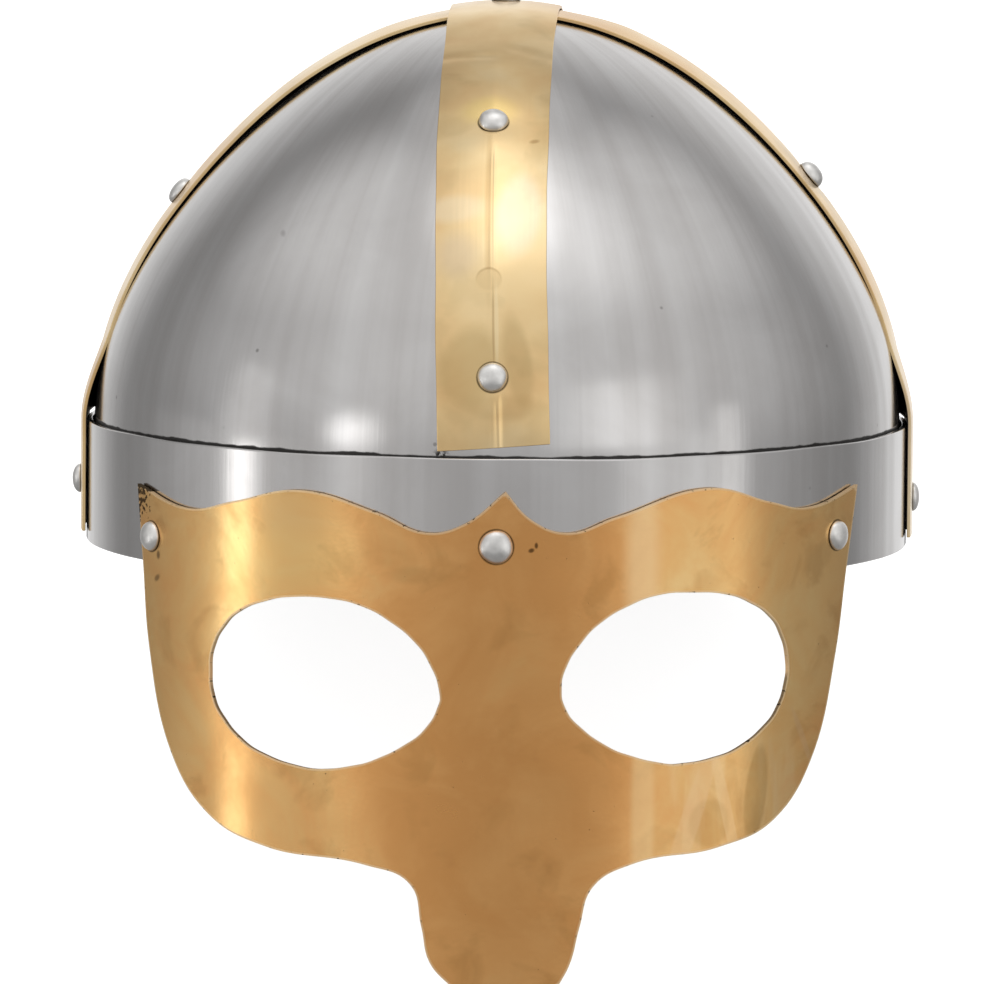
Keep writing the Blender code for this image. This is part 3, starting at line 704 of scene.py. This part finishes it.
def make_rivet(rivet, number, material):
    """Hammered dome, shank and inner button: one turned profile, the dome dinted by its facets."""
    radius, rise = HEAD_RADIUS * rivet.width, HEAD_RISE * rivet.height
    foot = -(rivet.grip + 2 * FIT_GAP)
    lift = np.linspace(math.radians(84), 0, 12)
    profile = [(radius * math.cos(a) ** 0.9, rise * math.sin(a)) for a in lift]
    profile += [(radius * 0.985, -FIT_GAP * 0.6), (SHANK_RADIUS, -FIT_GAP * 0.6), (SHANK_RADIUS, foot)]
    profile += [(BUTTON_RADIUS, foot), (BUTTON_RADIUS * 0.97, foot - BUTTON_RISE / 2)]
    profile += [(BUTTON_RADIUS * 0.8, foot - BUTTON_RISE)]
    turn = np.linspace(0, 2 * math.pi, 40, endpoint=False)
    wide, high = (np.array(column)[:, None] for column in zip(*profile))
    on_head = high > -FIT_GAP / 2
    dints = 0.016 * np.sin(3 * turn + 1.7 * number) + 0.008 * np.sin(5 * turn + 0.9 * number)
    wide = wide * (1 + np.where(on_head, dints, 0.0))
    tipped = 0.03 * rise * np.sin(2 * turn + number) * wide / radius
    high = high + np.where(on_head & (high > 0), tipped, 0.0)
    side = np.cross([0.0, 0.0, 1.0] if abs(rivet.out[2]) < 0.9 else [1.0, 0.0, 0.0], rivet.out)
    side /= np.linalg.norm(side)
    up = np.cross(rivet.out, side)
    centre = rivet.seat + rivet.out * FIT_GAP * 0.6
    rings = (
        centre + wide[..., None] * (np.cos(turn)[:, None] * side + np.sin(turn)[:, None] * up)
        + high[..., None] * rivet.out
    )
    top, bottom = centre + rise * rivet.out, centre + (foot - BUTTON_RISE) * rivet.out
    points, faces = skin(rings, first=top, last=bottom)
    return add_piece(rivet.name + "_skin", points, faces, material, rounding=0)


def linear(colour):
    """Linear red, green, blue and alpha of an sRGB hex colour."""
    channels = [int(colour[i:i + 2], 16) / 255 for i in (0, 2, 4)]
    return [c / 12.92 if c <= 0.04045 else ((c + 0.055) / 1.055) ** 2.4 for c in channels] + [1.0]


def node(tree, kind, inputs=None, stops=None, **settings):
    """Add a shader node: settings go on the node, inputs take a value or another node's output,
    and stops are a ramp's (position, colour) pairs."""
    made = tree.nodes.new(kind)
    for name, value in settings.items():
        setattr(made, name, value)
    for name, value in (inputs or {}).items():
        if isinstance(value, bpy.types.NodeSocket):
            tree.links.new(value, made.inputs[name])
        else:
            made.inputs[name].default_value = value
    if stops:
        elements = made.color_ramp.elements
        while len(elements) < len(stops):
            elements.new(0.5)
        for element, (position, colour) in zip(elements, stops):
            element.position = position
            element.color = colour if isinstance(colour, (list, tuple)) else (colour, colour, colour, 1.0)
    return made


def new_metal(name):
    """A metal's shader with helmet coordinates: object coordinates leant back into its own frame."""
    material = bpy.data.materials.new(name)
    material.use_nodes = True
    tree = material.node_tree
    shader = tree.nodes["Principled BSDF"]
    shader.inputs["Metallic"].default_value = 1.0
    back = HELMET.inverted()
    spot = node(tree, "ShaderNodeTexCoord").outputs["Object"]
    spot = node(tree, "ShaderNodeMapping", {
        "Vector": spot, "Location": back.to_translation(), "Rotation": back.to_euler(),
    }).outputs["Vector"]
    return material, tree, shader, spot


def soft_mark(tree, at, middle, half_axes, tilt=0.0, soft=0.5):
    """1 inside an ellipse round its middle, turned by the tilt, easing to 0 over its outer part."""
    flat = len(middle) == 2
    off = node(tree, "ShaderNodeMapping", {
        "Vector": at, "Location": (*middle, 0.0) if flat else middle,
        "Rotation": (0.0, 0.0, math.radians(tilt)), "Scale": (*half_axes, 1.0) if flat else half_axes,
    }, vector_type="TEXTURE").outputs[0]
    away = node(tree, "ShaderNodeVectorMath", {0: off}, operation="LENGTH").outputs["Value"]
    return node(tree, "ShaderNodeMapRange", {
        "Value": away, "From Min": 1.0 - soft, "From Max": 1.0 + soft, "To Min": 1.0, "To Max": 0.0,
    }, interpolation_type="SMOOTHSTEP").outputs[0]


def marked(tree, colour, at, marks):
    """A colour with marks laid over it one after another."""
    for middle, half_axes, tilt, soft, share, tint in marks:
        mark = soft_mark(tree, at, middle, half_axes, tilt, soft)
        mark = node(tree, "ShaderNodeMath", {0: mark, 1: share}, operation="MULTIPLY").outputs[0]
        colour = node(tree, "ShaderNodeMix", {
            "Factor": mark, FROM_COLOUR: colour, TO_COLOUR: linear(tint),
        }, data_type="RGBA").outputs[MIXED]
    return colour


def foot_rings(rivets):
    """Thin rings of painted shade round the foot of each rivet's head."""
    return [
        Mark(tuple(rivet.seat), (HEAD_RADIUS * rivet.width + RING_WIDTH,) * 3, 0, 0.05, 0.80, "2E2214")
        for rivet in rivets
    ]


def facing_out(tree):
    """1 on surfaces that face away from the helmet's inside and 0 on those that face it."""
    here = node(tree, "ShaderNodeTexCoord").outputs
    middle = HELMET @ Vector(HEAD_MIDDLE)
    off = node(tree, "ShaderNodeVectorMath", {0: here["Object"], 1: middle}, operation="SUBTRACT").outputs[0]
    out = node(tree, "ShaderNodeVectorMath", {0: off, 1: here["Normal"]}, operation="DOT_PRODUCT")
    return node(tree, "ShaderNodeMapRange", {
        "Value": out.outputs["Value"], "From Min": -0.02, "From Max": 0.0,
    }).outputs[0]


def polished_steel(name, seam):
    """Cold-rolled mild steel, dressed with a belt and hand-polished: faint long lines from the rim
    to the crown, cloudy patches where the polish took less, and a few pits.

    Under the ear-to-ear strap the outside is painted dark as shade, and dulled. The skull's steel also has
    the black line of painted shade that sits just above the band's top edge. The lines, 0.3 to 1 mm
    apart, are drawn about three times as wide as real ones to show.
    """
    material, tree, shader, spot = new_metal(name)
    axes = node(tree, "ShaderNodeSeparateXYZ", {"Vector": spot}).outputs
    level = node(tree, "ShaderNodeCombineXYZ", {"X": axes["X"], "Y": axes["Y"]}).outputs[0]
    around = node(tree, "ShaderNodeVectorMath", {0: level}, operation="NORMALIZE").outputs[0]
    around = node(tree, "ShaderNodeVectorMath", {
        0: around, "Scale": BAND_HALF_WIDTH,
    }, operation="SCALE").outputs[0]
    climb = node(tree, "ShaderNodeMath", {0: axes["Z"], 1: 0.02}, operation="MULTIPLY").outputs[0]
    climb = node(tree, "ShaderNodeCombineXYZ", {"Z": climb}).outputs[0]
    brushed = node(tree, "ShaderNodeVectorMath", {0: around, 1: climb}, operation="ADD").outputs[0]
    lines = node(tree, "ShaderNodeTexNoise", {"Vector": brushed, "Scale": 1100.0, "Detail": 3.0}).outputs[0]
    streaks = node(tree, "ShaderNodeTexNoise", {"Vector": brushed, "Scale": 150.0, "Detail": 3.0}).outputs[0]
    clouds = node(tree, "ShaderNodeTexNoise", {
        "Vector": spot, "Scale": 24.0, "Detail": 5.0, "Roughness": 0.6, "Distortion": 0.6,
    }).outputs[0]
    patchy = node(tree, "ShaderNodeMath", {0: streaks, 1: clouds}, operation="ADD").outputs[0]
    patchy = node(tree, "ShaderNodeMath", {0: patchy, 1: 0.5}, operation="MULTIPLY").outputs[0]
    colour = node(tree, "ShaderNodeValToRGB", {"Fac": patchy}, stops=(
        (0.36, linear("C6C3C1")), (0.64, linear("D8D6D5")),
    )).outputs[0]
    pits = node(tree, "ShaderNodeTexVoronoi", {"Vector": spot, "Scale": 70.0}).outputs["Distance"]
    pits = node(tree, "ShaderNodeMapRange", {
        "Value": pits, "From Min": 0.022, "From Max": 0.045, "To Min": 0.55, "To Max": 0.0,
    }).outputs[0]
    colour = node(tree, "ShaderNodeMix", {
        "Factor": pits, FROM_COLOUR: colour, TO_COLOUR: linear("6E6A66"),
    }, data_type="RGBA").outputs[MIXED]
    # Painted shade: the steel under the ear-to-ear strap, where it faces out, is darkened as if in the
    # strap's shadow.
    aside = node(tree, "ShaderNodeMath", {0: axes["Y"]}, operation="ABSOLUTE").outputs[0]
    covered = node(tree, "ShaderNodeMapRange", {
        "Value": aside, "From Min": COVERED_FROM, "From Max": COVERED_TO, "To Min": 0.95, "To Max": 0.0,
    }).outputs[0]
    painted_shade_and_soot = node(tree, "ShaderNodeMath", {0: covered, 1: facing_out(tree)}, operation="MULTIPLY").outputs[0]
    if seam:
        # Painted shade: a ragged black line on the skull just above the band's top edge.
        ragged = node(tree, "ShaderNodeTexNoise", {"Vector": spot, "Scale": 240.0, "Detail": 4.0}).outputs[0]
        broad = node(tree, "ShaderNodeTexNoise", {"Vector": spot, "Scale": 60.0, "Detail": 2.0}).outputs[0]
        ragged = node(tree, "ShaderNodeMath", {0: ragged, 1: broad}, operation="MULTIPLY").outputs[0]
        above = node(tree, "ShaderNodeMath", {
            0: ragged, 1: SEAM_SHADE_RISE, 2: BAND_HEIGHT,
        }, operation="MULTIPLY_ADD").outputs[0]
        above = node(tree, "ShaderNodeMath", {0: axes["Z"], 1: above}, operation="SUBTRACT").outputs[0]
        line = node(tree, "ShaderNodeMapRange", {
            "Value": above, "From Min": 0.0, "From Max": 0.0003, "To Min": 0.92, "To Max": 0.0,
        }).outputs[0]
        soot = soft_mark(tree, spot, (-0.0138, -0.1150, 0.0316), (0.0016, 0.01, 0.0013), soft=0.6)
        specks = node(tree, "ShaderNodeTexNoise", {"Vector": spot, "Scale": 900.0, "Detail": 3.0}).outputs[0]
        specks = node(tree, "ShaderNodeMapRange", {
            "Value": specks, "From Min": 0.44, "From Max": 0.52, "To Min": 0.0, "To Max": 0.95,
        }).outputs[0]
        soot = node(tree, "ShaderNodeMath", {0: soot, 1: specks}, operation="MULTIPLY").outputs[0]
        for dark in (line, soot):
            painted_shade_and_soot = node(tree, "ShaderNodeMath", {0: painted_shade_and_soot, 1: dark}, operation="MAXIMUM").outputs[0]
        speck = Mark((-0.0539, -0.0760, 0.0833), (0.0008, 0.0040, 0.0010), 0, 0.60, 0.60, "5A5450")
        colour = marked(tree, colour, spot, [speck])
    # Painted shade and soot darken the steel to near black and dull it.
    colour = node(tree, "ShaderNodeMix", {
        "Factor": painted_shade_and_soot, FROM_COLOUR: colour, TO_COLOUR: linear("1C1916"),
    }, data_type="RGBA").outputs[MIXED]
    tree.links.new(colour, shader.inputs["Base Color"])
    rough = node(tree, "ShaderNodeMapRange", {
        "Value": patchy, "From Min": 0.36, "From Max": 0.64, "To Min": 0.20, "To Max": 0.14,
    }).outputs[0]
    rough = node(tree, "ShaderNodeMath", {0: painted_shade_and_soot, 1: 0.4, 2: rough}, operation="MULTIPLY_ADD").outputs[0]
    tree.links.new(rough, shader.inputs["Roughness"])
    bump = node(tree, "ShaderNodeBump", {"Height": lines, "Strength": 0.05, "Distance": 0.0002})
    tree.links.new(bump.outputs[0], shader.inputs["Normal"])
    return material


def strap_brass(rivets):
    """Half-hard brass sheet, sheared and buffed: fine lines along the strap, pale where it was
    buffed most, olive-brown smears of old polish, an underside painted dark brown as shade and dulled,
    and on the long strap a painted highlight on its right facet and painted shade and highlight by its
    crease.

    The lines lie 0.3 to 1 mm apart, drawn about three times as wide as real ones to show.
    """
    material, tree, shader, spot = new_metal("buffed strap brass")
    sheet = node(tree, "ShaderNodeUVMap", uv_map="sheet").outputs[0]
    lines_at = node(tree, "ShaderNodeMapping", {"Vector": sheet, "Scale": (1.0, 0.02, 1.0)}).outputs[0]
    lines = node(tree, "ShaderNodeTexNoise", {"Vector": lines_at, "Scale": 1200.0, "Detail": 3.0}).outputs[0]
    clouds = node(tree, "ShaderNodeTexNoise", {
        "Vector": spot, "Scale": 34.0, "Detail": 4.0, "Roughness": 0.5, "Distortion": 0.3,
    }).outputs[0]
    colour = node(tree, "ShaderNodeValToRGB", {"Fac": clouds}, stops=(
        (0.34, linear("E9C088")), (0.52, linear("F3D29B")), (0.68, linear("FADFAE")),
    )).outputs[0]
    smears = node(tree, "ShaderNodeTexNoise", {
        "Vector": spot, "Scale": 60.0, "Detail": 3.0, "Roughness": 0.5, "Distortion": 0.5,
    }).outputs[0]
    smears = node(tree, "ShaderNodeMapRange", {
        "Value": smears, "From Min": 0.56, "From Max": 0.66, "To Min": 0.0, "To Max": 0.22,
    }).outputs[0]
    colour = node(tree, "ShaderNodeMix", {
        "Factor": smears, FROM_COLOUR: colour, TO_COLOUR: linear("BFA470"),
    }, data_type="RGBA").outputs[MIXED]
    colour = marked(tree, colour, sheet, STRAP_MARKS)
    # Painted shade: thin dark rings round the rivets' feet.
    colour = marked(tree, colour, spot, foot_rings(rivets))
    # Painted shade: surfaces that face the helmet's inside are painted dark brown as if in shade, and
    # dulled.
    under = node(tree, "ShaderNodeMapRange", {
        "Value": facing_out(tree), "To Min": 0.85, "To Max": 0.0,
    }).outputs[0]
    colour = node(tree, "ShaderNodeMix", {
        "Factor": under, FROM_COLOUR: colour, TO_COLOUR: linear("4A3A20"),
    }, data_type="RGBA").outputs[MIXED]
    tree.links.new(colour, shader.inputs["Base Color"])
    rough = node(tree, "ShaderNodeMapRange", {
        "Value": clouds, "From Min": 0.3, "From Max": 0.7, "To Min": 0.27, "To Max": 0.19,
    }).outputs[0]
    rough = node(tree, "ShaderNodeMath", {0: under, 1: 0.35, 2: rough}, operation="MULTIPLY_ADD").outputs[0]
    tree.links.new(rough, shader.inputs["Roughness"])
    bump = node(tree, "ShaderNodeBump", {"Height": lines, "Strength": 0.05, "Distance": 0.0002}).outputs[0]
    dents = node(tree, "ShaderNodeTexNoise", {"Vector": spot, "Scale": 60.0, "Detail": 1.0}).outputs[0]
    bump = node(tree, "ShaderNodeBump", {
        "Height": dents, "Strength": 0.35, "Distance": 0.0006, "Normal": bump,
    }).outputs[0]
    tree.links.new(bump, shader.inputs["Normal"])
    return material


def mask_brass(rivets):
    """Brass sheet, sawn out, filed and wiped: brown where it tarnished in the middle, yellower at the
    sides where it was rubbed, with wiped streaks, a painted highlight along its cut edges, two pale
    upright strips of painted highlight by the right eye, and a few black specks."""
    material, tree, shader, spot = new_metal("wiped mask brass")
    sheet = node(tree, "ShaderNodeUVMap", uv_map="sheet").outputs[0]
    axes = node(tree, "ShaderNodeSeparateXYZ", {"Vector": sheet}).outputs
    aside = node(tree, "ShaderNodeMath", {0: axes["X"]}, operation="ABSOLUTE").outputs[0]
    clouds = node(tree, "ShaderNodeTexNoise", {
        "Vector": sheet, "Scale": 34.0, "Detail": 6.0, "Roughness": 0.62, "Distortion": 0.7,
    }).outputs[0]
    rubbed = node(tree, "ShaderNodeMapRange", {
        "Value": aside, "From Min": 0.018, "From Max": 0.060, "To Min": -0.14, "To Max": 0.12,
    }, interpolation_type="SMOOTHSTEP").outputs[0]
    rubbed = node(tree, "ShaderNodeMath", {0: rubbed, 1: clouds}, operation="ADD").outputs[0]
    colour = node(tree, "ShaderNodeValToRGB", {"Fac": rubbed}, stops=(
        (0.28, linear("E6A866")), (0.45, linear("F0B572")),
        (0.62, linear("F2C17E")), (0.80, linear("F6CE8E")),
    )).outputs[0]
    streaks_at = node(tree, "ShaderNodeMapping", {
        "Vector": sheet, "Rotation": (0.0, 0.0, math.radians(-22)), "Scale": (1.0, 0.14, 1.0),
    }).outputs[0]
    streaks = node(tree, "ShaderNodeTexNoise", {
        "Vector": streaks_at, "Scale": 130.0, "Detail": 3.0,
    }).outputs[0]
    streaks = node(tree, "ShaderNodeMapRange", {
        "Value": streaks, "From Min": 0.50, "From Max": 0.58, "To Min": 0.0, "To Max": 0.22,
    }).outputs[0]
    wiped = soft_mark(tree, sheet, (0.066, -0.056), (0.030, 0.016), soft=0.35)
    wiped = node(tree, "ShaderNodeMath", {0: streaks, 1: wiped}, operation="MULTIPLY").outputs[0]
    colour = node(tree, "ShaderNodeMix", {
        "Factor": wiped, FROM_COLOUR: colour, TO_COLOUR: linear("FFE2B0"),
    }, data_type="RGBA").outputs[MIXED]
    smears = node(tree, "ShaderNodeTexNoise", {
        "Vector": sheet, "Scale": 60.0, "Detail": 4.0, "Roughness": 0.55, "Distortion": 0.6,
    }).outputs[0]
    smears = node(tree, "ShaderNodeMapRange", {
        "Value": smears, "From Min": 0.55, "From Max": 0.68, "To Min": 0.0, "To Max": 0.35,
    }).outputs[0]
    colour = node(tree, "ShaderNodeMix", {
        "Factor": smears, FROM_COLOUR: colour, TO_COLOUR: linear("BE8A4E"),
    }, data_type="RGBA").outputs[MIXED]
    colour = marked(tree, colour, sheet, MASK_MARKS)
    # Painted shade: thin dark rings round the rivets' feet.
    colour = marked(tree, colour, spot, foot_rings(rivets))
    specks = node(tree, "ShaderNodeTexNoise", {"Vector": sheet, "Scale": 950.0, "Detail": 3.0}).outputs[0]
    corner = soft_mark(tree, sheet, (-0.1090, 0.0165), (0.0055, 0.0060), soft=0.7)
    # Painted highlight: a pale band along every cut edge, wider than the eased edge's own highlight; it also
    # dulls the edge.
    edge = node(tree, "ShaderNodeAttribute", attribute_name="edge").outputs["Fac"]
    filed = node(tree, "ShaderNodeMapRange", {
        "Value": edge, "From Min": 0.0002, "From Max": 0.0006, "To Min": 0.55, "To Max": 0.0,
    }).outputs[0]
    colour = node(tree, "ShaderNodeMix", {
        "Factor": filed, FROM_COLOUR: colour, TO_COLOUR: linear("FFE9C4"),
    }, data_type="RGBA").outputs[MIXED]
    burnt = node(tree, "ShaderNodeMapRange", {
        "Value": edge, "From Min": 0.0, "From Max": 0.0009, "To Min": 0.11, "To Max": 0.0,
    }).outputs[0]
    burnt = node(tree, "ShaderNodeMath", {0: corner, 1: 0.28, 2: burnt}, operation="MULTIPLY_ADD").outputs[0]
    burnt = node(tree, "ShaderNodeMath", {0: specks, 1: burnt}, operation="ADD").outputs[0]
    burnt = node(tree, "ShaderNodeMapRange", {
        "Value": burnt, "From Min": 0.735, "From Max": 0.770, "To Min": 0.0, "To Max": 0.9,
    }).outputs[0]
    colour = node(tree, "ShaderNodeMix", {
        "Factor": burnt, FROM_COLOUR: colour, TO_COLOUR: linear("2A1D12"),
    }, data_type="RGBA").outputs[MIXED]
    tree.links.new(colour, shader.inputs["Base Color"])
    rough = node(tree, "ShaderNodeMapRange", {
        "Value": clouds, "From Min": 0.3, "From Max": 0.7, "To Min": 0.28, "To Max": 0.19,
    }).outputs[0]
    for dull in (burnt, filed):
        rough = node(tree, "ShaderNodeMath", {
            0: dull, 1: 0.4, 2: rough,
        }, operation="MULTIPLY_ADD").outputs[0]
    tree.links.new(rough, shader.inputs["Roughness"])
    fine = node(tree, "ShaderNodeTexNoise", {"Vector": sheet, "Scale": 900.0, "Detail": 3.0}).outputs[0]
    bump = node(tree, "ShaderNodeBump", {"Height": fine, "Strength": 0.05, "Distance": 0.0002}).outputs[0]
    dents = node(tree, "ShaderNodeTexNoise", {"Vector": sheet, "Scale": 55.0, "Detail": 1.0}).outputs[0]
    bump = node(tree, "ShaderNodeBump", {
        "Height": dents, "Strength": 0.25, "Distance": 0.0006, "Normal": bump,
    }).outputs[0]
    tree.links.new(bump, shader.inputs["Normal"])
    return material


def rivet_steel():
    """Soft steel wire, hammered over into domes: small flats and a bright, slightly dull skin."""
    material, tree, shader, spot = new_metal("hammered rivet steel")
    clouds = node(tree, "ShaderNodeTexNoise", {"Vector": spot, "Scale": 300.0, "Detail": 3.0}).outputs[0]
    colour = node(tree, "ShaderNodeValToRGB", {"Fac": clouds}, stops=(
        (0.35, linear("DEDCD9")), (0.60, linear("F4F2EF")),
    )).outputs[0]
    tree.links.new(colour, shader.inputs["Base Color"])
    shader.inputs["Roughness"].default_value = 0.38
    bump = node(tree, "ShaderNodeBump", {"Height": clouds, "Strength": 0.30, "Distance": 0.0005})
    tree.links.new(bump.outputs[0], shader.inputs["Normal"])
    return material


def make_floor():
    """Plain white light-table floor, lit from inside so that shadows on it stay light."""
    material = bpy.data.materials.new("white light table")
    material.use_nodes = True
    shader = material.node_tree.nodes["Principled BSDF"]
    shader.inputs["Base Color"].default_value = linear("F4F4F4")
    shader.inputs["Roughness"].default_value = 1.0
    shader.inputs["Specular IOR Level"].default_value = 0.0
    shader.inputs["Emission Color"].default_value = linear("FFFFFF")
    shader.inputs["Emission Strength"].default_value = 0.85
    mesh = bpy.data.meshes.new("floor")
    corners = [(-1, -1), (1, -1), (1, 1), (-1, 1)]
    mesh.from_pydata([(FLOOR_REACH * x, FLOOR_REACH * y, 0.0) for x, y in corners], [], [(0, 1, 2, 3)])
    mesh.materials.append(material)
    floor = bpy.data.objects.new("floor", mesh)
    floor.visible_glossy = False
    bpy.context.scene.collection.objects.link(floor)


def light_studio():
    """Dim studio with soft-edged light panels round the helmet, brightest panel wins.

    A wall panel fades with the difference in azimuth and in elevation from its middle, and a round
    one with the angle from its middle.
    """
    world = bpy.data.worlds.new("studio")
    bpy.context.scene.world = world
    world.use_nodes = True
    tree = world.node_tree
    way = node(tree, "ShaderNodeTexCoord").outputs["Generated"]
    way = node(tree, "ShaderNodeMapping", {
        "Vector": way, "Rotation": HELMET.inverted().to_euler(),
    }).outputs["Vector"]
    axes = node(tree, "ShaderNodeSeparateXYZ", {"Vector": way}).outputs
    forward = node(tree, "ShaderNodeMath", {0: axes["Y"], 1: -1.0}, operation="MULTIPLY").outputs[0]
    azimuth = node(tree, "ShaderNodeMath", {0: axes["X"], 1: forward}, operation="ARCTAN2").outputs[0]
    elevation = node(tree, "ShaderNodeMath", {0: axes["Z"]}, operation="ARCSINE").outputs[0]
    fades = []
    for panel in PANELS:
        aside, above = (
            node(tree, "ShaderNodeMath", {0: angle, 1: math.radians(mid)}, operation="SUBTRACT").outputs[0]
            for angle, mid in ((azimuth, panel.azimuth), (elevation, panel.elevation))
        )
        aside = node(tree, "ShaderNodeMath", {
            0: aside, 1: math.pi, 2: -math.pi,
        }, operation="WRAP").outputs[0]
        fades.append((panel, (
            (aside, panel.half_wide, panel.soft_wide), (above, panel.half_tall, panel.soft_tall),
        )))
    for panel in ROUND_PANELS:
        a, e = math.radians(panel.azimuth), math.radians(panel.elevation)
        middle = (math.sin(a) * math.cos(e), -math.cos(a) * math.cos(e), math.sin(e))
        near = node(tree, "ShaderNodeVectorMath", {0: way, 1: middle}, operation="DOT_PRODUCT")
        away = node(tree, "ShaderNodeMath", {0: near.outputs["Value"]}, operation="ARCCOSINE")
        fades.append((panel, ((away.outputs[0], panel.half, panel.soft),)))
    lights = []
    for panel, edges in fades:
        share = 1.0
        for angle, half, soft in edges:
            off = node(tree, "ShaderNodeMath", {0: angle}, operation="ABSOLUTE").outputs[0]
            fade = node(tree, "ShaderNodeMapRange", {
                "Value": off, "From Min": math.radians(half - soft / 2),
                "From Max": math.radians(half + soft / 2), "To Min": 1.0, "To Max": 0.0,
            }, interpolation_type="SMOOTHSTEP").outputs[0]
            share = node(tree, "ShaderNodeMath", {0: fade, 1: share}, operation="MULTIPLY").outputs[0]
        lights.append((panel, share))
    brightest = STUDIO_DIMNESS
    for panel, share in lights:
        light = node(tree, "ShaderNodeMapRange", {
            "Value": share, "To Min": PANEL_SPILL, "To Max": panel.radiance,
        }).outputs[0]
        brightest = node(tree, "ShaderNodeMath", {0: light, 1: brightest}, operation="MAXIMUM").outputs[0]
    seen = node(tree, "ShaderNodeLightPath").outputs["Is Camera Ray"]
    strength = node(tree, "ShaderNodeMix", {"Factor": seen, "A": brightest, "B": 1.0}, data_type="FLOAT")
    backdrop = tree.nodes["Background"]
    tree.links.new(strength.outputs["Result"], backdrop.inputs["Strength"])
    backdrop.inputs["Color"].default_value = linear("FFFFFF")


def place_camera():
    """The photograph's view: a long lens a little above the helmet's own horizontal, with a slight
    roll."""
    forward = np.array([0.0, math.cos(CAMERA_ELEVATION), -math.sin(CAMERA_ELEVATION)])
    up = np.array([0.0, math.sin(CAMERA_ELEVATION), math.cos(CAMERA_ELEVATION)])
    right = np.array([1.0, 0.0, 0.0])
    rolled_right = right * math.cos(CAMERA_ROLL) + up * math.sin(CAMERA_ROLL)
    rolled_up = up * math.cos(CAMERA_ROLL) - right * math.sin(CAMERA_ROLL)
    place = np.array(CAMERA_AIM) - forward * CAMERA_DISTANCE
    rows = np.column_stack([rolled_right, rolled_up, -forward, place])
    view = Matrix([*rows.tolist(), [0, 0, 0, 1]])
    data = bpy.data.cameras.new("camera")
    data.lens = CAMERA_LENS_MM
    data.sensor_width = SENSOR_WIDTH_MM
    data.clip_end = 100.0
    camera = bpy.data.objects.new("camera", data)
    camera.matrix_world = HELMET @ view
    bpy.context.scene.collection.objects.link(camera)
    bpy.context.scene.camera = camera


rivets = plan_rivets()
strap_metal, mask_metal, rivet_metal = strap_brass(rivets[:9]), mask_brass(rivets[9:]), rivet_steel()
make_skull(polished_steel("polished mild steel with painted shade at its foot", seam=True))
make_band(polished_steel("polished mild steel", seam=False))
make_strap(LONG_STRAP, strap_metal)
make_strap(CROSS_STRAP, strap_metal)
make_mask(mask_metal)
for number, rivet in enumerate(rivets):
    make_rivet(rivet, number, rivet_metal)
make_floor()
light_studio()
place_camera()
bpy.context.scene.view_settings.view_transform = "Standard"
